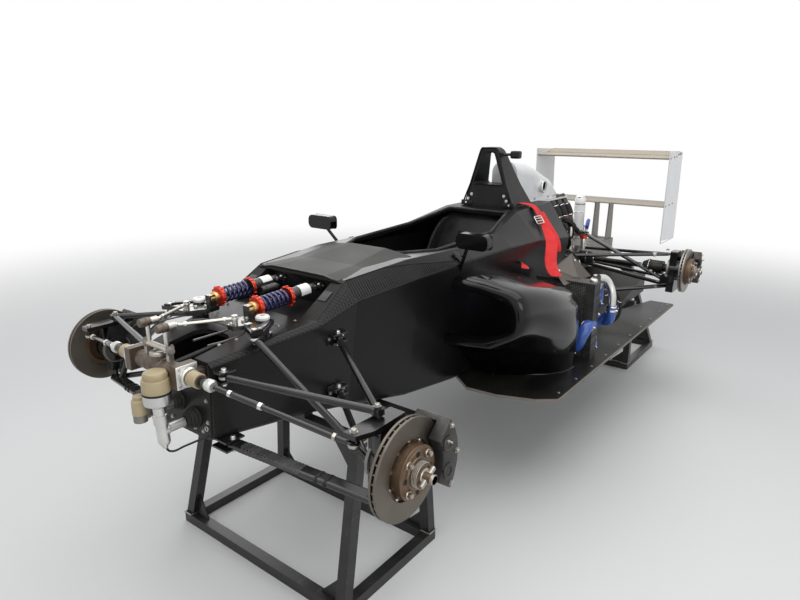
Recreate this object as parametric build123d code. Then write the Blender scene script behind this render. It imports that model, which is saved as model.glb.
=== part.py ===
from build123d import *
import math
import os

# Open wheel racing car, stripped for work and standing on two paddock stands.
# Millimetres. +X is forward, +Y is the car's left, +Z is up and the shop floor is Z 0.
# Stations along X are measured from the front axle, as on a chassis drawing, and every
# piece is moved forward by ORIGIN_SHIFT when it is written, so that X 0 is mid length.

os.makedirs("parts", exist_ok=True)

# Overall
FRONT_END_X = 300.0
WHEELBASE = 2667.0
REAR_OVERHANG = 973.0
REAR_X = -WHEELBASE
REAR_END_X = REAR_X - REAR_OVERHANG
ORIGIN_SHIFT = -(FRONT_END_X + REAR_END_X) / 2
FRONT_AXLE_Z = 723.0
REAR_AXLE_Z = 770.0

# Monocoque
FLOOR_TOP_Z = 489.0
FLOOR_THICKNESS = 12.0
TUB_WALL = 14.0
TUB_FRONT_X = 146.0
TUB_REAR_X = -2050.0
TUB_CORNER = 34.0
CHINE_ROUND = 10.0
TOP_ROUND = 8.0
CAVITY_REAR_X = -1640.0
SHELF_Z = 958.0
DAMPER_BAY_HALF_WIDTH = 165.0
DECK_FRONT_X = -363.0
DECK_LIP = 16.0
COCKPIT_FRONT_X = -735.0
COCKPIT_REAR_X = -1590.0
PEDAL_HATCH_HALF_WIDTH = 84.0
PEDAL_HATCH_LENGTH = 150.0
PEDAL_HATCH_ROUND = 50.0
BULKHEAD_THICKNESS = 14.0

# Brakes and hubs
FRONT_DISC_RADIUS = 139.0
REAR_DISC_RADIUS = 127.0
DISC_INNER_RADIUS = 84.0
DISC_THICKNESS = 22.0
FRONT_DISC_FACE_Y = 758.0
REAR_DISC_FACE_Y = 800.0
BELL_RADIUS = 73.5
BELL_DEPTH = 25.0
BELL_WALL = 7.0
HUB_NOSE_RADIUS = 34.0
HUB_NOSE_LENGTH = 20.0
HUB_BORE_RADIUS = 22.0
HUB_SHAFT_RADIUS = 24.0
HUB_SPIGOT_RADIUS = 12.0
HUB_SPIGOT_LENGTH = 32.0
PEG_CIRCLE_RADIUS = 57.0
PEG_RADIUS = 7.0
PEG_LENGTH = 14.0
PEG_COUNT = 4
PEG_FIRST_ANGLE = 45.0
PAD_CLEARANCE = 5.0
RUNNING_CLEARANCE = 0.5

# Steering
RACK_X = 205.0
RACK_Z = 882.0
RACK_BAR_RADIUS = 12.0
RACK_HOUSING_RADIUS = 25.0
RACK_SLEEVE_RADIUS = 19.0
RACK_SLEEVE_END_Y = 200.0
TRACK_ROD_START_Y = 236.0
TRACK_ROD_RADIUS = 7.0
COLUMN_RADIUS = 10.0
COLUMN_FRONT = (186.0, 0.0, 869.0)
WHEEL_CENTRE = (-775.0, 0.0, 962.0)
STEERING_WHEEL_RADIUS = 128.0
STEERING_PIN = (95.0, 656.0, 800.0)
STEERING_EYE_HALF_HEIGHT = 7.0
PIN_RADIUS = 4.0
EYE_BORE = 9.0


def rod(start, end, radius):
    """Round bar from one point to another."""
    start = Vector(*start)
    end = Vector(*end)
    along = end - start
    return Plane(origin=start, z_dir=along) * Cylinder(
        radius, along.length, align=(Align.CENTER, Align.CENTER, Align.MIN)
    )


def pipe(start, end, radius, bore):
    """Round tube from one point to another."""
    return rod(start, end, radius) - rod(start, end, bore)


def bent_rod(points, radius):
    """Round bar through several points, with a ball at each bend."""
    shape = Part()
    for start, end in zip(points[:-1], points[1:]):
        shape += rod(start, end, radius)
    for bend in points[1:-1]:
        shape += Pos(*bend) * Sphere(radius)
    return shape


def run_in(outer, inner, y):
    """The point on the line through outer and inner where it reaches a given y."""
    share = (outer[1] - y) / (outer[1] - inner[1])
    return tuple(a + (b - a) * share for a, b in zip(outer, inner))


def block(x0, x1, y0, y1, z0, z1):
    """Square block between two corners."""
    box = Box(x1 - x0, y1 - y0, z1 - z0)
    return Pos((x0 + x1) / 2, (y0 + y1) / 2, (z0 + z1) / 2) * box


def outline_face(points, radius=0.0):
    """Flat face inside an outline, its corners rounded where a radius is given."""
    if radius == 0.0:
        return make_face(Polyline(*points, close=True))
    return make_face(FilletPolyline(*points, radius=radius, close=True))


def slab(outline, z0, z1, radius=0.0):
    """Plan outline of (x, y) points, raised from z0 to z1."""
    return Pos(0, 0, z0) * extrude(outline_face(outline, radius), z1 - z0)


def side_plate(outline, y0, y1, radius=0.0):
    """Side outline of (x, z) points, thick from y0 to y1."""
    plane = Plane(origin=(0, y1, 0), x_dir=(1, 0, 0), z_dir=(0, -1, 0))
    return extrude(plane * outline_face(outline, radius), y1 - y0)


def across(x):
    """The plane of a cross section at station x, drawn in (y, z)."""
    return Plane(origin=(x, 0, 0), x_dir=(0, 1, 0), z_dir=(1, 0, 0))


def cross_plate(outline, x0, x1, radius=0.0):
    """Front view outline of (y, z) points, thick from x0 to x1."""
    return extrude(across(x0) * outline_face(outline, radius), x1 - x0)


def sheet(corners, thickness):
    """Flat three-cornered sheet in any position."""
    return extrude(make_face(Polyline(*corners, close=True)), thickness / 2, both=True)


def blade(start, end, chord, thickness):
    """Streamlined link: a flat oval bar whose chord runs along the car."""
    start = Vector(*start)
    end = Vector(*end)
    along = end - start
    chord_dir = Vector(1, 0, 0) - along * (along.X / along.length**2)
    plane = Plane(origin=start, x_dir=chord_dir, z_dir=along)
    return extrude(plane * SlotOverall(chord, thickness), along.length)


def mirrored(outline):
    """An outline of right-hand points closed with the same points on the left, for (y, z) outlines."""
    return list(outline) + [(-first, second) for first, second in reversed(outline)]


def other_side(shape):
    """The same piece on the car's right."""
    return mirror(shape, about=Plane.XZ)


def both(shape):
    return shape + other_side(shape)


def square_tube(start, end, width, up=(0, 0, 1)):
    """Square stand tube between two points, its faces square to up."""
    start = Vector(*start)
    end = Vector(*end)
    along = end - start
    plane = Plane(origin=start, x_dir=Vector(*up).cross(along), z_dir=along)
    return extrude(plane * Rectangle(width, width), along.length)


def save(name, shape):
    """Writes one node at its place in the finished car's frame."""
    moved = Pos(ORIGIN_SHIFT, 0, 0) * shape
    export_step(Compound(label=name, children=list(moved.solids())), f"parts/{name}.step")


# Monocoque
# x, half width and height of the floor edge, of the chine and of the top edge
TUB_STATIONS = [
    (TUB_FRONT_X, 152, 653, 160, 894, 146, 906),
    (-205, 198, 622, 248, 944, 232, 960),
    (DECK_FRONT_X, 219, 595, 268, 996, 212, 1060),
    (-680, 244, 531, 298, 1022, 235, 1084),
    (-1020, 252, FLOOR_TOP_Z, 326, 1042, 258, 1082),
    (-1340, 255, FLOOR_TOP_Z, 330, 1046, 252, 1104),
    (-1620, 255, FLOOR_TOP_Z, 326, 1036, 208, 1166),
    (TUB_REAR_X, 248, FLOOR_TOP_Z, 312, 1000, 192, 1180),
]
CAVITY_ROUND = 4.0
CEILING_STEP = 12.0


def hull_section(x, half_floor, floor_z, half_chine, chine_z, half_top, top_z, inside=False):
    """One cross section of the monocoque, a six-sided outline with rounded corners."""
    points = [
        (-half_floor, floor_z),
        (half_floor, floor_z),
        (half_chine, chine_z),
        (half_top, top_z),
        (-half_top, top_z),
        (-half_chine, chine_z),
    ]
    upper = [CHINE_ROUND, TOP_ROUND, TOP_ROUND, CHINE_ROUND]
    if inside:
        upper = [CAVITY_ROUND] * 4
    return across(x) * outline_face(points, [TUB_CORNER, TUB_CORNER] + upper)


def cavity_section(x, half_floor, floor_z, half_chine, chine_z, half_top, top_z):
    """The hollow inside one cross section: one wall in, and under the shelf ahead of the deck."""
    ceiling = top_z - TUB_WALL
    if x >= DECK_FRONT_X:
        ceiling = min(ceiling, SHELF_Z - TUB_WALL)
    inner_chine_z = min(chine_z, ceiling) - CEILING_STEP
    lean = (half_chine - half_floor) / (chine_z - floor_z)
    inner_chine = half_floor + lean * (inner_chine_z - floor_z) - TUB_WALL
    return hull_section(
        x,
        half_floor - TUB_WALL,
        floor_z + TUB_WALL,
        inner_chine,
        inner_chine_z,
        half_top - TUB_WALL,
        ceiling,
        inside=True,
    )


outer = loft([hull_section(*row) for row in TUB_STATIONS], ruled=True)
cavity_rows = TUB_STATIONS[:-1] + [(CAVITY_REAR_X,) + TUB_STATIONS[-2][1:]]
cavity = loft([cavity_section(*row) for row in cavity_rows], ruled=True)
mouth_half = [
    (COCKPIT_FRONT_X, 110),
    (COCKPIT_FRONT_X - 40, 150),
    (COCKPIT_FRONT_X - 170, 216),
    (COCKPIT_REAR_X + 260, 226),
    (COCKPIT_REAR_X, 165),
]
mouth_outline = mouth_half + [(x, -y) for x, y in reversed(mouth_half)]
cockpit_mouth = slab(mouth_outline, SHELF_Z, 1300, radius=18)
damper_bay = block(
    DECK_FRONT_X, TUB_FRONT_X, -DAMPER_BAY_HALF_WIDTH, DAMPER_BAY_HALF_WIDTH, SHELF_Z, 1200
)
hatch_face = RectangleRounded(2 * PEDAL_HATCH_LENGTH, 2 * PEDAL_HATCH_HALF_WIDTH, PEDAL_HATCH_ROUND)
pedal_hatch = Pos(TUB_FRONT_X, 0, 860) * extrude(hatch_face, 100)
tub = outer - cavity - cockpit_mouth - damper_bay - pedal_hatch
save("tub", tub)

BULKHEAD_HALF_WIDTH = 145.0
BULKHEAD_TOP_Z = 882.0
bulkhead_outline = mirrored(
    [
        (BULKHEAD_HALF_WIDTH - 8, 668),
        (BULKHEAD_HALF_WIDTH, BULKHEAD_TOP_Z),
        (PEDAL_HATCH_HALF_WIDTH + 6, BULKHEAD_TOP_Z),
        (PEDAL_HATCH_HALF_WIDTH - 24, BULKHEAD_TOP_Z - 44),
    ]
)
front_bulkhead = cross_plate(bulkhead_outline, TUB_FRONT_X - BULKHEAD_THICKNESS, TUB_FRONT_X)
front_bulkhead &= cavity
NOSE_HOLE_RADIUS = 5.0
NOSE_HOLE_HALF_Y = 118.0
NOSE_HOLE_HEIGHTS = (690.0, 850.0)
for hole_y in (-NOSE_HOLE_HALF_Y, NOSE_HOLE_HALF_Y):
    for hole_z in NOSE_HOLE_HEIGHTS:
        front_bulkhead -= rod(
            (TUB_FRONT_X - 30, hole_y, hole_z), (TUB_FRONT_X + 5, hole_y, hole_z), NOSE_HOLE_RADIUS
        )
save("front_bulkhead", front_bulkhead)

# Crowned deck from the dampers back to the cockpit, its front lip standing over the damper bay
# x, half width and height of its edge, half width and height of its crown
DECK_STATIONS = [
    (DECK_FRONT_X + DECK_LIP, 204, 1052, 130, 1066),
    (DECK_FRONT_X - 150, 216, 1060, 120, 1075),
    (COCKPIT_FRONT_X + 1, 226, 1078, 90, 1102),
]


def deck_section(x, half_edge, edge_z, half_crown, crown_z):
    points = [
        (half_edge, edge_z),
        (half_edge - 12, edge_z + 8),
        (half_crown, crown_z),
    ]
    return across(x) * outline_face(mirrored(points))


deck = loft([deck_section(*row) for row in DECK_STATIONS], ruled=True)
deck = deck - outer - cavity
save("cockpit_deck", deck)

# Dash plate inside, which carries the steering column
DASH_X = -560.0
DASH_HALF_THICKNESS = 6.0
dash = block(DASH_X - DASH_HALF_THICKNESS, DASH_X + DASH_HALF_THICKNESS, -300, 300, 900, 1100) & cavity
column_slope = (WHEEL_CENTRE[2] - COLUMN_FRONT[2]) / (COLUMN_FRONT[0] - WHEEL_CENTRE[0])
column_at_dash = COLUMN_FRONT[2] + column_slope * (COLUMN_FRONT[0] - DASH_X)
dash -= rod((DASH_X - 20, 0, column_at_dash), (DASH_X + 20, 0, column_at_dash), COLUMN_RADIUS + 2)
save("dash_plate", dash)

# Roll hoop: an arch in front view with a rounded top, trimmed by its side view
HOOP_FRONT_X = -1690.0
HOOP_APEX_Z = 1469.0
HOOP_FOOT_Z = 1166.0
HOOP_WINDOW_Z = 1281.0
HOOP_TOP_DEPTH = 62.0
HOOP_FOOT_DEPTH = 260.0
hoop_face = cross_plate(
    mirrored([(150, HOOP_FOOT_Z - 20), (104, HOOP_WINDOW_Z), (58, HOOP_APEX_Z - 40), (44, HOOP_APEX_Z)]),
    HOOP_FRONT_X - HOOP_FOOT_DEPTH - 50,
    HOOP_FRONT_X,
    radius=[2, 20, 20, 38, 38, 20, 20, 2],
)
hoop_window = cross_plate(
    mirrored([(88, HOOP_WINDOW_Z), (40, HOOP_APEX_Z - 50), (30, HOOP_APEX_Z - 24)]),
    HOOP_FRONT_X - 400,
    HOOP_FRONT_X + 50,
    radius=[10, 16, 22, 22, 16, 10],
)
hoop_side = side_plate(
    [
        (HOOP_FRONT_X, HOOP_APEX_Z),
        (HOOP_FRONT_X - HOOP_TOP_DEPTH, HOOP_APEX_Z),
        (HOOP_FRONT_X - 160, HOOP_WINDOW_Z),
        (HOOP_FRONT_X - HOOP_FOOT_DEPTH, HOOP_FOOT_Z - 30),
        (HOOP_FRONT_X, HOOP_FOOT_Z - 30),
    ],
    -200,
    200,
)
roll_hoop = (hoop_face & hoop_side) - hoop_window - outer
for bolt_y in (-112, 112):
    roll_hoop += rod((HOOP_FRONT_X, bolt_y, 1205), (HOOP_FRONT_X + 7, bolt_y, 1205), 9)
save("roll_hoop", roll_hoop)

# Seat shell: one bent sheet lying back in the bay, with raised sides
SEAT_HALF_WIDTH = 190.0
SEAT_SIDE_THICKNESS = 12.0
seat_line = [(-1640, 1120), (-1330, 640), (-1240, 540), (-1010, 520), (-900, 600)]
seat_back = [(x + 10, z + 12) for x, z in reversed(seat_line)]
seat = side_plate(seat_line + seat_back, -SEAT_HALF_WIDTH, SEAT_HALF_WIDTH) & cavity
seat_side = side_plate(
    [(-1630, 1110), (-1330, 646), (-1235, 552), (-1010, 532), (-1010, 640), (-1240, 700), (-1560, 1090)],
    SEAT_HALF_WIDTH,
    SEAT_HALF_WIDTH + SEAT_SIDE_THICKNESS,
)
seat += both(seat_side) & cavity
save("seat", seat)

# Floor with its curved front edge, and the plank under it
FLOOR_FRONT_X = -991.0
FLOOR_REAR_X = REAR_X - 265
FLOOR_HALF_WIDTH = 692.0
FLOOR_STEP_Y = 552.0
FLOOR_WAIST_Y = 470.0
DIFFUSER_FRONT_X = FLOOR_REAR_X + 330
floor_half = [
    (FLOOR_FRONT_X - 94, 214),
    (FLOOR_FRONT_X, 334),
    (FLOOR_FRONT_X - 12, 470),
    (FLOOR_FRONT_X - 68, 620),
    (FLOOR_FRONT_X - 130, FLOOR_HALF_WIDTH),
    (FLOOR_REAR_X, FLOOR_HALF_WIDTH),
    (FLOOR_REAR_X, FLOOR_STEP_Y),
    (DIFFUSER_FRONT_X, FLOOR_WAIST_Y),
]
floor_outline = floor_half + [(x, -y) for x, y in reversed(floor_half)]
floor_bottom_z = FLOOR_TOP_Z - FLOOR_THICKNESS
floor = slab(floor_outline, floor_bottom_z, FLOOR_TOP_Z)
PLANK_HALF_WIDTH = 120.0
PLANK_THICKNESS = 8.0
floor += block(
    DIFFUSER_FRONT_X + 100,
    FLOOR_FRONT_X - 60,
    -PLANK_HALF_WIDTH,
    PLANK_HALF_WIDTH,
    floor_bottom_z - PLANK_THICKNESS,
    floor_bottom_z,
)
save("floor", floor)

DIFFUSER_LENGTH = 560.0
DIFFUSER_RISE = 120.0
DIFFUSER_HALF_WIDTH = 440.0
DIFFUSER_SKIN = 10.0
STRAKE_THICKNESS = 6.0
STRAKE_START = 60.0
DIFFUSER_REAR_X = DIFFUSER_FRONT_X - DIFFUSER_LENGTH
diffuser = side_plate(
    [
        (DIFFUSER_FRONT_X, floor_bottom_z),
        (DIFFUSER_FRONT_X, FLOOR_TOP_Z),
        (DIFFUSER_REAR_X, FLOOR_TOP_Z + DIFFUSER_RISE),
        (DIFFUSER_REAR_X, FLOOR_TOP_Z + DIFFUSER_RISE - DIFFUSER_SKIN),
    ],
    -DIFFUSER_HALF_WIDTH,
    DIFFUSER_HALF_WIDTH,
)
for strake_y in (150, DIFFUSER_HALF_WIDTH):
    strake = side_plate(
        [
            (DIFFUSER_FRONT_X - STRAKE_START, floor_bottom_z),
            (DIFFUSER_REAR_X, floor_bottom_z + 10),
            (DIFFUSER_REAR_X, FLOOR_TOP_Z + DIFFUSER_RISE - 4),
            (DIFFUSER_FRONT_X - STRAKE_START, FLOOR_TOP_Z + 4),
        ],
        strake_y - STRAKE_THICKNESS,
        strake_y,
    )
    diffuser += both(strake)
save("diffuser", diffuser)

# Sidepods: round-shouldered ducts with a thick lip at the mouth, undercut to the floor
# x, inner low z, outer low y and z, side y and z, outer top y and z, inner top z, skin
SIDEPOD_STATIONS = [
    (-885, 700, 480, 722, 622, 815, 606, 958, 966, 22),
    (-930, 690, 486, 714, 634, 806, 616, 956, 970, 10),
    (-1180, 600, 560, 650, 668, 760, 640, 918, 944, 9),
    (-1340, 520, 616, 560, 672, 700, 640, 880, 900, 9),
    (-1500, FLOOR_TOP_Z, 606, FLOOR_TOP_Z, 614, 640, 606, 846, 852, 9),
]
SIDEPOD_INNER_Y = 240.0


def sidepod_section(x, low_z, low_y, low_out_z, side_y, side_z, top_y, top_z, inner_top_z, skin, inset=False):
    """One cross section of the left pod; inset draws the duct inside its skin."""
    skin = skin if inset else 0.0
    points = [
        (SIDEPOD_INNER_Y, low_z + skin),
        (low_y - skin * 0.6, low_out_z + skin),
        (side_y - skin, side_z),
        (top_y - skin, top_z - skin),
        (SIDEPOD_INNER_Y, inner_top_z - skin),
    ]
    return across(x) * outline_face(points, [1, 40, 60, 50, 1])


pod_rows = SIDEPOD_STATIONS
pod_outer = loft([sidepod_section(*row) for row in pod_rows])
pod_inner = loft([sidepod_section(*row, inset=True) for row in pod_rows])
pod_shell = pod_outer - pod_inner - outer - floor
save("sidepod_left", pod_shell)
save("sidepod_right", other_side(pod_shell))

# Radiators stand across the ducts, each with an end tank on its outer side
RADIATOR_FRONT_X = -1640.0
RADIATOR_THICKNESS = 60.0
RADIATOR_TOP_Z = 860.0
RADIATOR_LEAN = 20.0
RADIATOR_INNER_Y = 335.0
RADIATOR_OUTER_Y = 590.0
END_TANK_WIDTH = 40.0


def radiator_plate(y0, y1, grow):
    return side_plate(
        [
            (RADIATOR_FRONT_X - RADIATOR_THICKNESS - grow, FLOOR_TOP_Z),
            (RADIATOR_FRONT_X + grow, FLOOR_TOP_Z),
            (RADIATOR_FRONT_X + RADIATOR_LEAN + grow, RADIATOR_TOP_Z + grow),
            (RADIATOR_FRONT_X + RADIATOR_LEAN - RADIATOR_THICKNESS - grow, RADIATOR_TOP_Z + grow),
        ],
        y0,
        y1,
    )


radiator = radiator_plate(RADIATOR_INNER_Y, RADIATOR_OUTER_Y, 0)
radiator += radiator_plate(RADIATOR_OUTER_Y, RADIATOR_OUTER_Y + END_TANK_WIDTH, 6)
save("radiators", both(radiator))

# Folded cover over each radiator's head, three flat sheets that meet along two creases
COVER_THICKNESS = 4.0
cover_front = (-1563, 500, RADIATOR_TOP_Z - 8)
cover_foot = (-1700, 520, RADIATOR_TOP_Z - 2)
cover_inner = (-1658, 400, 900)
cover_peak = (-1755, 450, 966)
cover_rear = (-1770, 550, RADIATOR_TOP_Z + 6)
cover = sheet([cover_inner, cover_peak, cover_foot], COVER_THICKNESS)
cover += sheet([cover_inner, cover_foot, cover_front], COVER_THICKNESS)
cover += sheet([cover_peak, cover_rear, cover_foot], COVER_THICKNESS)
cover = cover - radiator
save("duct_covers", both(cover.solids().sort_by(SortBy.VOLUME)[-1]))

# Coolant hoses from each end tank down to the engine
HOSE_RADIUS = 18.0
hose_points = [
    (-1690, 610, 882),
    (-1752, 640, 862),
    (-1756, 668, 760),
    (-1800, 646, 680),
    (-1840, 560, 640),
    (-2000, 330, 580),
    (TUB_REAR_X - 120, 190, 560),
    (TUB_REAR_X - 120, 120, 560),
]
hose = bent_rod(hose_points, HOSE_RADIUS) - radiator
save("coolant_pipes", both(hose))

# Engine, open to view: case, head, cam cover, intake runners, exhaust headers
GEARBOX_FRONT_X = REAR_X + 187
ENGINE_FRONT_X = TUB_REAR_X
ENGINE_LENGTH = ENGINE_FRONT_X - GEARBOX_FRONT_X
SUMP_HALF_WIDTH = 150.0
CASE_HALF_WIDTH = 105.0
HEAD_HALF_WIDTH = 112.0
CAM_COVER_Z = 1040.0
CYLINDER_COUNT = 4
FRONT_COVER_THICKNESS = 26.0
engine_outline = mirrored(
    [
        (SUMP_HALF_WIDTH, FLOOR_TOP_Z),
        (SUMP_HALF_WIDTH + 8, 640),
        (CASE_HALF_WIDTH, 720),
        (CASE_HALF_WIDTH - 10, 880),
        (HEAD_HALF_WIDTH, 905),
        (HEAD_HALF_WIDTH, 975),
        (HEAD_HALF_WIDTH - 16, CAM_COVER_Z),
    ]
)
engine = cross_plate(engine_outline, GEARBOX_FRONT_X, ENGINE_FRONT_X, radius=10)
cover_outline = mirrored([(CASE_HALF_WIDTH + 12, 560), (CASE_HALF_WIDTH + 4, 900), (HEAD_HALF_WIDTH + 6, 1000)])
engine += cross_plate(
    cover_outline, ENGINE_FRONT_X - 20 - FRONT_COVER_THICKNESS, ENGINE_FRONT_X - 20, radius=24
)
runner_pitch = (ENGINE_LENGTH - 90) / CYLINDER_COUNT
INTAKE_RADIUS = 20.0
EXHAUST_RADIUS = 17.0
collector_x = GEARBOX_FRONT_X + 60
for index in range(CYLINDER_COUNT):
    port_x = ENGINE_FRONT_X - 75 - runner_pitch * (index + 0.5)
    engine += block(
        port_x - runner_pitch * 0.3, port_x + runner_pitch * 0.3, -CASE_HALF_WIDTH - 9, CASE_HALF_WIDTH + 9, 735, 860
    )
    engine += bent_rod([(port_x, 90, 945), (port_x, 168, 1000), (port_x, 150, 1090), (port_x, 92, 1182)], INTAKE_RADIUS)
    engine += bent_rod(
        [(port_x, -90, 930), (port_x, -175, 900), (port_x - 20, -205, 800), (collector_x, -205, 700)], EXHAUST_RADIUS
    )
engine += rod((collector_x, -205, 700), (GEARBOX_FRONT_X - 330, -235, 690), 30)
engine += rod((ENGINE_FRONT_X - 60, 172, 660), (ENGINE_FRONT_X - 190, 172, 660), 42)
engine += rod((ENGINE_FRONT_X - 230, 176, 650), (GEARBOX_FRONT_X + 30, 176, 650), 36)
engine += rod((ENGINE_FRONT_X - 120, 110, 870), (ENGINE_FRONT_X - 120, 172, 870), 38)
engine = engine - both(hose)
save("engine", engine)

# Air box behind the hoop, over the engine, with a round inlet in its left side
AIRBOX_FRONT_X = -1862.0
AIRBOX_BASE_Z = 1172.0
# x, half width, top z, corner radius
AIRBOX_STATIONS = [
    (AIRBOX_FRONT_X, 74, 1392, 60),
    (-2000, 108, 1378, 70),
    (-2220, 118, 1290, 50),
    (GEARBOX_FRONT_X + 140, 100, 1200, 10),
]
AIRBOX_INLET = (-2084.0, 1255.0)
INLET_RADIUS = 32.0
INLET_BORE = 26.0


def airbox_section(x, half_width, top_z, corner):
    points = mirrored([(half_width, AIRBOX_BASE_Z), (half_width, top_z)])
    return across(x) * outline_face(points, [4, corner, corner, 4])


airbox = loft([airbox_section(*row) for row in AIRBOX_STATIONS], ruled=True)
airbox += rod((AIRBOX_INLET[0], 60, AIRBOX_INLET[1]), (AIRBOX_INLET[0], 134, AIRBOX_INLET[1]), INLET_RADIUS)
airbox -= rod((AIRBOX_INLET[0], 90, AIRBOX_INLET[1]), (AIRBOX_INLET[0], 140, AIRBOX_INLET[1]), INLET_BORE)
airbox = airbox - outer - roll_hoop - engine
save("airbox", airbox)

# Gearbox with its ribbed bellhousing, rocker bracket and final drive
GEARBOX_REAR_X = REAR_X - 293
# x, half width, low z, high z
GEARBOX_STATIONS = [
    (GEARBOX_FRONT_X, 168, 500, 960),
    (GEARBOX_FRONT_X - 130, 132, 590, 900),
    (REAR_X, 118, 618, 890),
    (GEARBOX_REAR_X, 88, 640, 850),
]


def gearbox_section(x, half_width, low_z, high_z):
    points = mirrored([(half_width - 30, low_z), (half_width, low_z + 60), (half_width, high_z - 60), (half_width - 34, high_z)])
    return across(x) * outline_face(points)


gearbox = loft([gearbox_section(*row) for row in GEARBOX_STATIONS], ruled=True)
RIB_THICKNESS = 8.0
for rib_x in (GEARBOX_FRONT_X - 24, GEARBOX_FRONT_X - 66, GEARBOX_FRONT_X - 108, REAR_X - 110, REAR_X - 180):
    rib = [(row[1] + 6, row[2] + 50, row[3] - 50) for row in GEARBOX_STATIONS if row[0] <= rib_x][0]
    gearbox += block(rib_x - RIB_THICKNESS / 2, rib_x + RIB_THICKNESS / 2, -rib[0], rib[0], rib[1], rib[2])
DRIVE_FLANGE_Y = 150.0
gearbox += rod((REAR_X, -DRIVE_FLANGE_Y, REAR_AXLE_Z), (REAR_X, DRIVE_FLANGE_Y, REAR_AXLE_Z), 70)
ROCKER_X = REAR_X + 58
gearbox += block(ROCKER_X - 40, ROCKER_X + 40, -205, 205, 918, 940)
gearbox += block(ROCKER_X - 34, ROCKER_X + 34, -90, 90, 860, 930)
REAR_DAMPER_Z = 962.0
for side in (-1, 1):
    gearbox += rod((ROCKER_X + 20, side * 70, REAR_DAMPER_Z), (GEARBOX_REAR_X + 60, side * 60, 930), 14)
    gearbox += rod((ROCKER_X - 30, side * 69, 957), (GEARBOX_REAR_X + 130, side * 62, 938), 27)
    gearbox += block(GEARBOX_REAR_X + 46, GEARBOX_REAR_X + 74, side * 60 - 14, side * 60 + 14, 840, 940)
    gearbox += block(ROCKER_X - 12, ROCKER_X + 30, side * 70 - 14, side * 70 + 14, 930, 978)
gearbox += rod((REAR_X - 60, 100, 880), (REAR_X - 60, 100, 1134), 33)
gearbox = gearbox - engine
save("gearbox", gearbox)

# Tail structure and the pillars that carry the rear wing
WING_HALF_SPAN = 479.0
ENDPLATE_THICKNESS = 6.0
WING_FRONT_X = REAR_X - 599
TAIL_REAR_X = REAR_X - 878
TAIL_BOTTOM_Z = 630.0
TAIL_TOP_Z = 770.0
LOWER_WING_Z = 1062.0
PILLAR_Y = 52.0
PILLAR_HALF_THICKNESS = 5.0
tail = block(TAIL_REAR_X, GEARBOX_REAR_X, -70, 70, TAIL_BOTTOM_Z, TAIL_TOP_Z)
tail_side = side_plate(
    [
        (TAIL_REAR_X + 125, TAIL_TOP_Z - 10),
        (TAIL_REAR_X + 5, TAIL_TOP_Z - 10),
        (TAIL_REAR_X + 25, LOWER_WING_Z + 4),
        (TAIL_REAR_X + 105, LOWER_WING_Z + 4),
    ],
    PILLAR_Y - PILLAR_HALF_THICKNESS,
    PILLAR_Y + PILLAR_HALF_THICKNESS,
)
tail += both(tail_side)
save("wing_mount", tail)

# share of the chord, height as a share of the thickness
WING_SECTION = [(0, 0), (0.08, -0.5), (0.35, -1.0), (1.0, 0.12), (1.0, 0.24), (0.35, 0.1), (0.08, 0.3)]


def wing_plane(lead_x, lead_z, chord, thickness, rise_deg):
    """One wing element across the span: a rounded nose, a flat top and a drooping belly."""
    span = WING_HALF_SPAN - ENDPLATE_THICKNESS
    turn = math.radians(rise_deg)
    outline = []
    for along, height in WING_SECTION:
        run = along * chord
        lift = height * thickness
        outline.append(
            (
                lead_x - run * math.cos(turn) + lift * math.sin(turn),
                lead_z + run * math.sin(turn) + lift * math.cos(turn),
            )
        )
    return side_plate(outline, -span, span)


UPPER_WING_Z = 1380.0
UPPER_CHORD = 190.0
FLAP_CHORD = 104.0
LOWER_CHORD = 220.0
upper = wing_plane(WING_FRONT_X - 6, UPPER_WING_Z, UPPER_CHORD, 16, 3)
upper += wing_plane(WING_FRONT_X + 4 - UPPER_CHORD, UPPER_WING_Z + 14, FLAP_CHORD, 9, 13)
save("wing_upper", upper)
lower = wing_plane(WING_FRONT_X - 20, LOWER_WING_Z - 4, LOWER_CHORD, 18, 3)
save("wing_lower", lower - tail)

ENDPLATE_TOP_Z = 1424.0
ENDPLATE_LOW_Z = 800.0
endplate = side_plate(
    [
        (WING_FRONT_X - 4, ENDPLATE_TOP_Z),
        (REAR_END_X + 46, ENDPLATE_TOP_Z - 8),
        (REAR_END_X, ENDPLATE_LOW_Z),
        (WING_FRONT_X - 36, ENDPLATE_LOW_Z + 22),
    ],
    WING_HALF_SPAN - ENDPLATE_THICKNESS,
    WING_HALF_SPAN,
    radius=8,
)
for slot_x in (REAR_END_X + 90, REAR_END_X + 134):
    slot = Plane(origin=(slot_x, WING_HALF_SPAN + 5, ENDPLATE_TOP_Z - 22), x_dir=(1, 0, 0), z_dir=(0, -1, 0))
    endplate -= extrude(slot * SlotOverall(26, 7), 20)
save("endplates", both(endplate))

# Front suspension, left side
FRONT_UPPER_JOINT = (-5.0, 650.0, 851.0)
FRONT_LOWER_JOINT = (5.0, 680.0, 598.0)
KINGPIN_STUD_RADIUS = 8.0
EYE_RADIUS = 18.0
EYE_HALF_HEIGHT = 8.0
kingpin_dir = (Vector(*FRONT_UPPER_JOINT) - Vector(*FRONT_LOWER_JOINT)).normalized()


def on_kingpin(point, along):
    """A point on the kingpin line, shifted along it."""
    moved = Vector(*point) + kingpin_dir * along
    return (moved.X, moved.Y, moved.Z)


def kingpin_eye(point):
    low = on_kingpin(point, -EYE_HALF_HEIGHT)
    high = on_kingpin(point, EYE_HALF_HEIGHT)
    bore_low = on_kingpin(point, -2 * EYE_RADIUS)
    bore_high = on_kingpin(point, 2 * EYE_RADIUS)
    return rod(low, high, EYE_RADIUS), rod(bore_low, bore_high, KINGPIN_STUD_RADIUS + RUNNING_CLEARANCE)


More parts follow.
